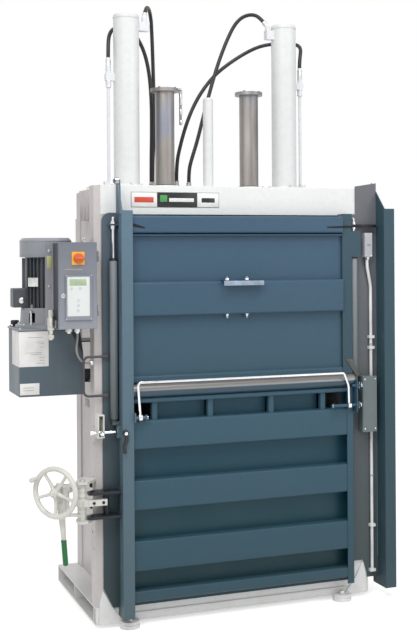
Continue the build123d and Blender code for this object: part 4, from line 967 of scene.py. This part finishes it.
wheel.swept([at_wheel(RIM_RADIUS * cos(t), RIM_RADIUS * sin(t))
             for t in (2 * pi * k / 72 for k in range(72))], RIM_HALF, 16, closed=True)
for step in range(5):
    t = radians(72 * step + 18)
    line = [at_wheel(r * cos(t), r * sin(t), lean) for r, lean in
            ((16, 0), (34, 2.5), (60, 4), (84, 2.5), (RIM_RADIUS - 2, 0))]
    wheel.swept(line, 7, 12, radii=[11, 9, 7.2, 7.2, 9])
wheel.turned(WHEEL_CENTRE, SPINDLE, [(-22, 0), (-22, 17), (-19, 20), (20, 20), (23, 17), (23, 12),
                                     (30, 12), (31, 11), (33, 12), (35, 11), (37, 12), (39, 11),
                                     (41, 12), (158, 12), (160, 10), (160, 0)], 40)
wheel.turned(WHEEL_CENTRE - SPINDLE * 22, -SPINDLE, [(-1, 0), (-1, 13), (7, 13), (9, 11), (9, 0)], 6)
knob_turn = radians(149)
stud = at_wheel(KNOB_RADIUS * cos(knob_turn), -KNOB_RADIUS * sin(knob_turn))
wheel.turned(stud, SPINDLE, [(-58, 0), (-58, 6.5), (-57, 8), (-52.6, 8), (-52.6, 5), (-12, 5),
                             (-12, 9), (-4, 9.4), (-4, 0)], 24)
wheel = wheel.done()
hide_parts("hand_wheel")
grip = Form("wheel_knob", "spinner_knob", CAST_WHITE, "dark_plastic")
grip.turned(stud, SPINDLE, [(-52, 5.06), (-52, 8.5), (-50, 11.4), (-43, 12), (-33, 10.8), (-24, 10),
                            (-18, 10.8), (-15.4, 11.4), (-14, 9.8), (-14, 5.06)], 32)
grip = grip.done()
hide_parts("spinner_knob")
handle = Form("ratchet_grip", "ratchet_lever", GREEN_GRIP, "dark_plastic")
foot = WHEEL_CENTRE + SPINDLE * 37
ARM = (ACROSS * sin(radians(ARM_SLANT)) - Z_AXIS * cos(radians(ARM_SLANT))).normalized()
profile = [(222, 6), (222, 12.5), (225, 13.6), (232, 12.8)]
for along in range(234, 324, 9):
    profile += [(along, 11.9), (along + 1, 12.6), (along + 6, 12.6), (along + 7, 11.9)]
profile += [(331, 12.4), (336, 10.5), (338.6, 7), (339, 0)]
handle.turned(foot, ARM, profile, 32)
handle.done()
ratchet = Form("ratchet_head_fittings", "ratchet_lever", CAST_WHITE, "white_paint")
ratchet.turned(foot, SPINDLE, [(-11.2, 12.1), (-11.2, 22), (-13, 23), (-13, 30), (-11, 34.4), (-8, 35),
                               (8, 35), (11.2, 34.2), (11.2, 12.1)], 48)
for turn in range(20, 380, 45):
    a = radians(turn)
    lug = foot + ACROSS * (35 * cos(a)) + Z_AXIS * (35 * sin(a))
    ratchet.turned(lug - SPINDLE * 9, SPINDLE, collar(0, 4.4, 18), 12)
ratchet.turned(foot + ARM * 60 - SPINDLE * 8, -SPINDLE, [(-1, 0), (-1, 8), (3, 8), (4, 6), (4, 0)], 24)
ratchet.done()
lever = Form("lock_lever_fittings", "lock_lever", CAST_WHITE, "white_paint")
nut = WHEEL_CENTRE + SPINDLE * 70
lever.turned(nut, SPINDLE, [(-13, 12.2), (-13, 20), (-11, 21.4), (-3, 21.4), (0, 20.5), (0, 12.2)], 40)
lever.turned(nut, SPINDLE, [(52, 12.2), (52, 18), (54, 20), (60, 20), (62, 18), (62, 12.2)], 6)
for z, axis in ((560.5, Z_AXIS), (687.5, -Z_AXIS)):
    lever.turned((NUT_X, NUT_Y, z), axis, [(0, 13), (0, 20), (5, 19), (7, 14.4)], 30)
for low in (572, 640, 668):
    lever.turned((LOCK_X, LOCK_Y, low), Z_AXIS, collar(16.8, 20, 10, 1), 36)
lever.turned((LOCK_X, LOCK_Y, 594), Z_AXIS,
             [(0, 17), (2, 24.5), (6, 26.5), (32, 26.5), (36, 24.5), (38, 17)], 40)
lever.weld((-771, -472.4, 601), (-771, -472.4, 625), 2.2)
lever.done()
lever_bolts = Form("lock_lever_bolts", "lock_lever", BLACK_STEEL, "steel")
for z, axis in ((696, Z_AXIS), (552, -Z_AXIS)):
    lever_bolts.bolt((NUT_X, NUT_Y, z), axis, 19, 3.2, washer=False)
for x in (-700, -745):
    lever_bolts.bolt((x, -472, 613), FRONT, 10, 5)
lever_bolts.done()
column_bolts = Form("lock_bracket_bolts", "press_frame", BLACK_STEEL, "steel")
for z in (575, 675):
    column_bolts.bolt((-729, -365, z), -X_AXIS, 17, 8)
for z in (1000, 922):
    column_bolts.screw((-703, -448, z), FRONT, 5, 3)
column_bolts.done()


# Floor, backdrop and light

def emitter(name, size, energy, place, target):
    """A square lamp that looks from its place at the target, in metres."""
    lamp = bpy.data.lights.new(name, "AREA")
    lamp.size = size
    lamp.energy = energy
    aim = (Vector(target) - Vector(place)).to_track_quat("-Z", "Y")
    placed(name, lamp).matrix_world = Matrix.Translation(place) @ aim.to_matrix().to_4x4()


def seen_rays(tree):
    """One for the camera, glossy and transmission rays, and nothing for the rest."""
    path = tree.nodes.new("ShaderNodeLightPath")
    seen = path.outputs["Is Camera Ray"]
    for kind in ("Is Glossy Ray", "Is Transmission Ray"):
        larger = tree.nodes.new("ShaderNodeMath")
        larger.operation = "MAXIMUM"
        tree.links.new(seen, larger.inputs[0])
        tree.links.new(path.outputs[kind], larger.inputs[1])
        seen = larger.outputs[0]
    return seen


world = bpy.data.worlds.new("studio")
bpy.context.scene.world = world
world.use_nodes = True
tree = world.node_tree
soft = tree.nodes["Background"]
shown = tree.nodes.new("ShaderNodeBackground")
for background, strength in ((soft, 0.48), (shown, 1.0)):
    background.inputs["Color"].default_value = (1, 1, 1, 1)
    background.inputs["Strength"].default_value = strength
mix = tree.nodes.new("ShaderNodeMixShader")
tree.links.new(seen_rays(tree), mix.inputs[0])
tree.links.new(soft.outputs[0], mix.inputs[1])
tree.links.new(shown.outputs[0], mix.inputs[2])
tree.links.new(mix.outputs[0], tree.nodes["World Output"].inputs["Surface"])

emitter("key", 2.2, 158, (-3.4, -4.4, 6.0), (0, 0, 1.3))
emitter("fill", 4.0, 50, (4.5, -5.5, 3.2), (0, 0, 1.2))
emitter("top", 1.6, 98, (0.2, -2.7, 6.2), (0, -0.4, 1.6))

n = Nodes("studio_floor")
speckle = n.add("ShaderNodeTexNoise", Scale=3.0).outputs["Fac"]
n.link(seen_rays(n.tree), n.shader.inputs["Emission Strength"])
floor_material = n.finish(n.ramp(speckle, [(0.0, 0.93), (1.0, 0.96)]), Roughness=0.8,
                          Specular_IOR_Level=0.1, Emission_Color=(0.54, 0.54, 0.54, 1))
bpy.ops.mesh.primitive_plane_add(size=44, location=(0, 6, 0))
floor = bpy.context.object
floor.name = "studio_floor"
floor.data.materials.append(floor_material)
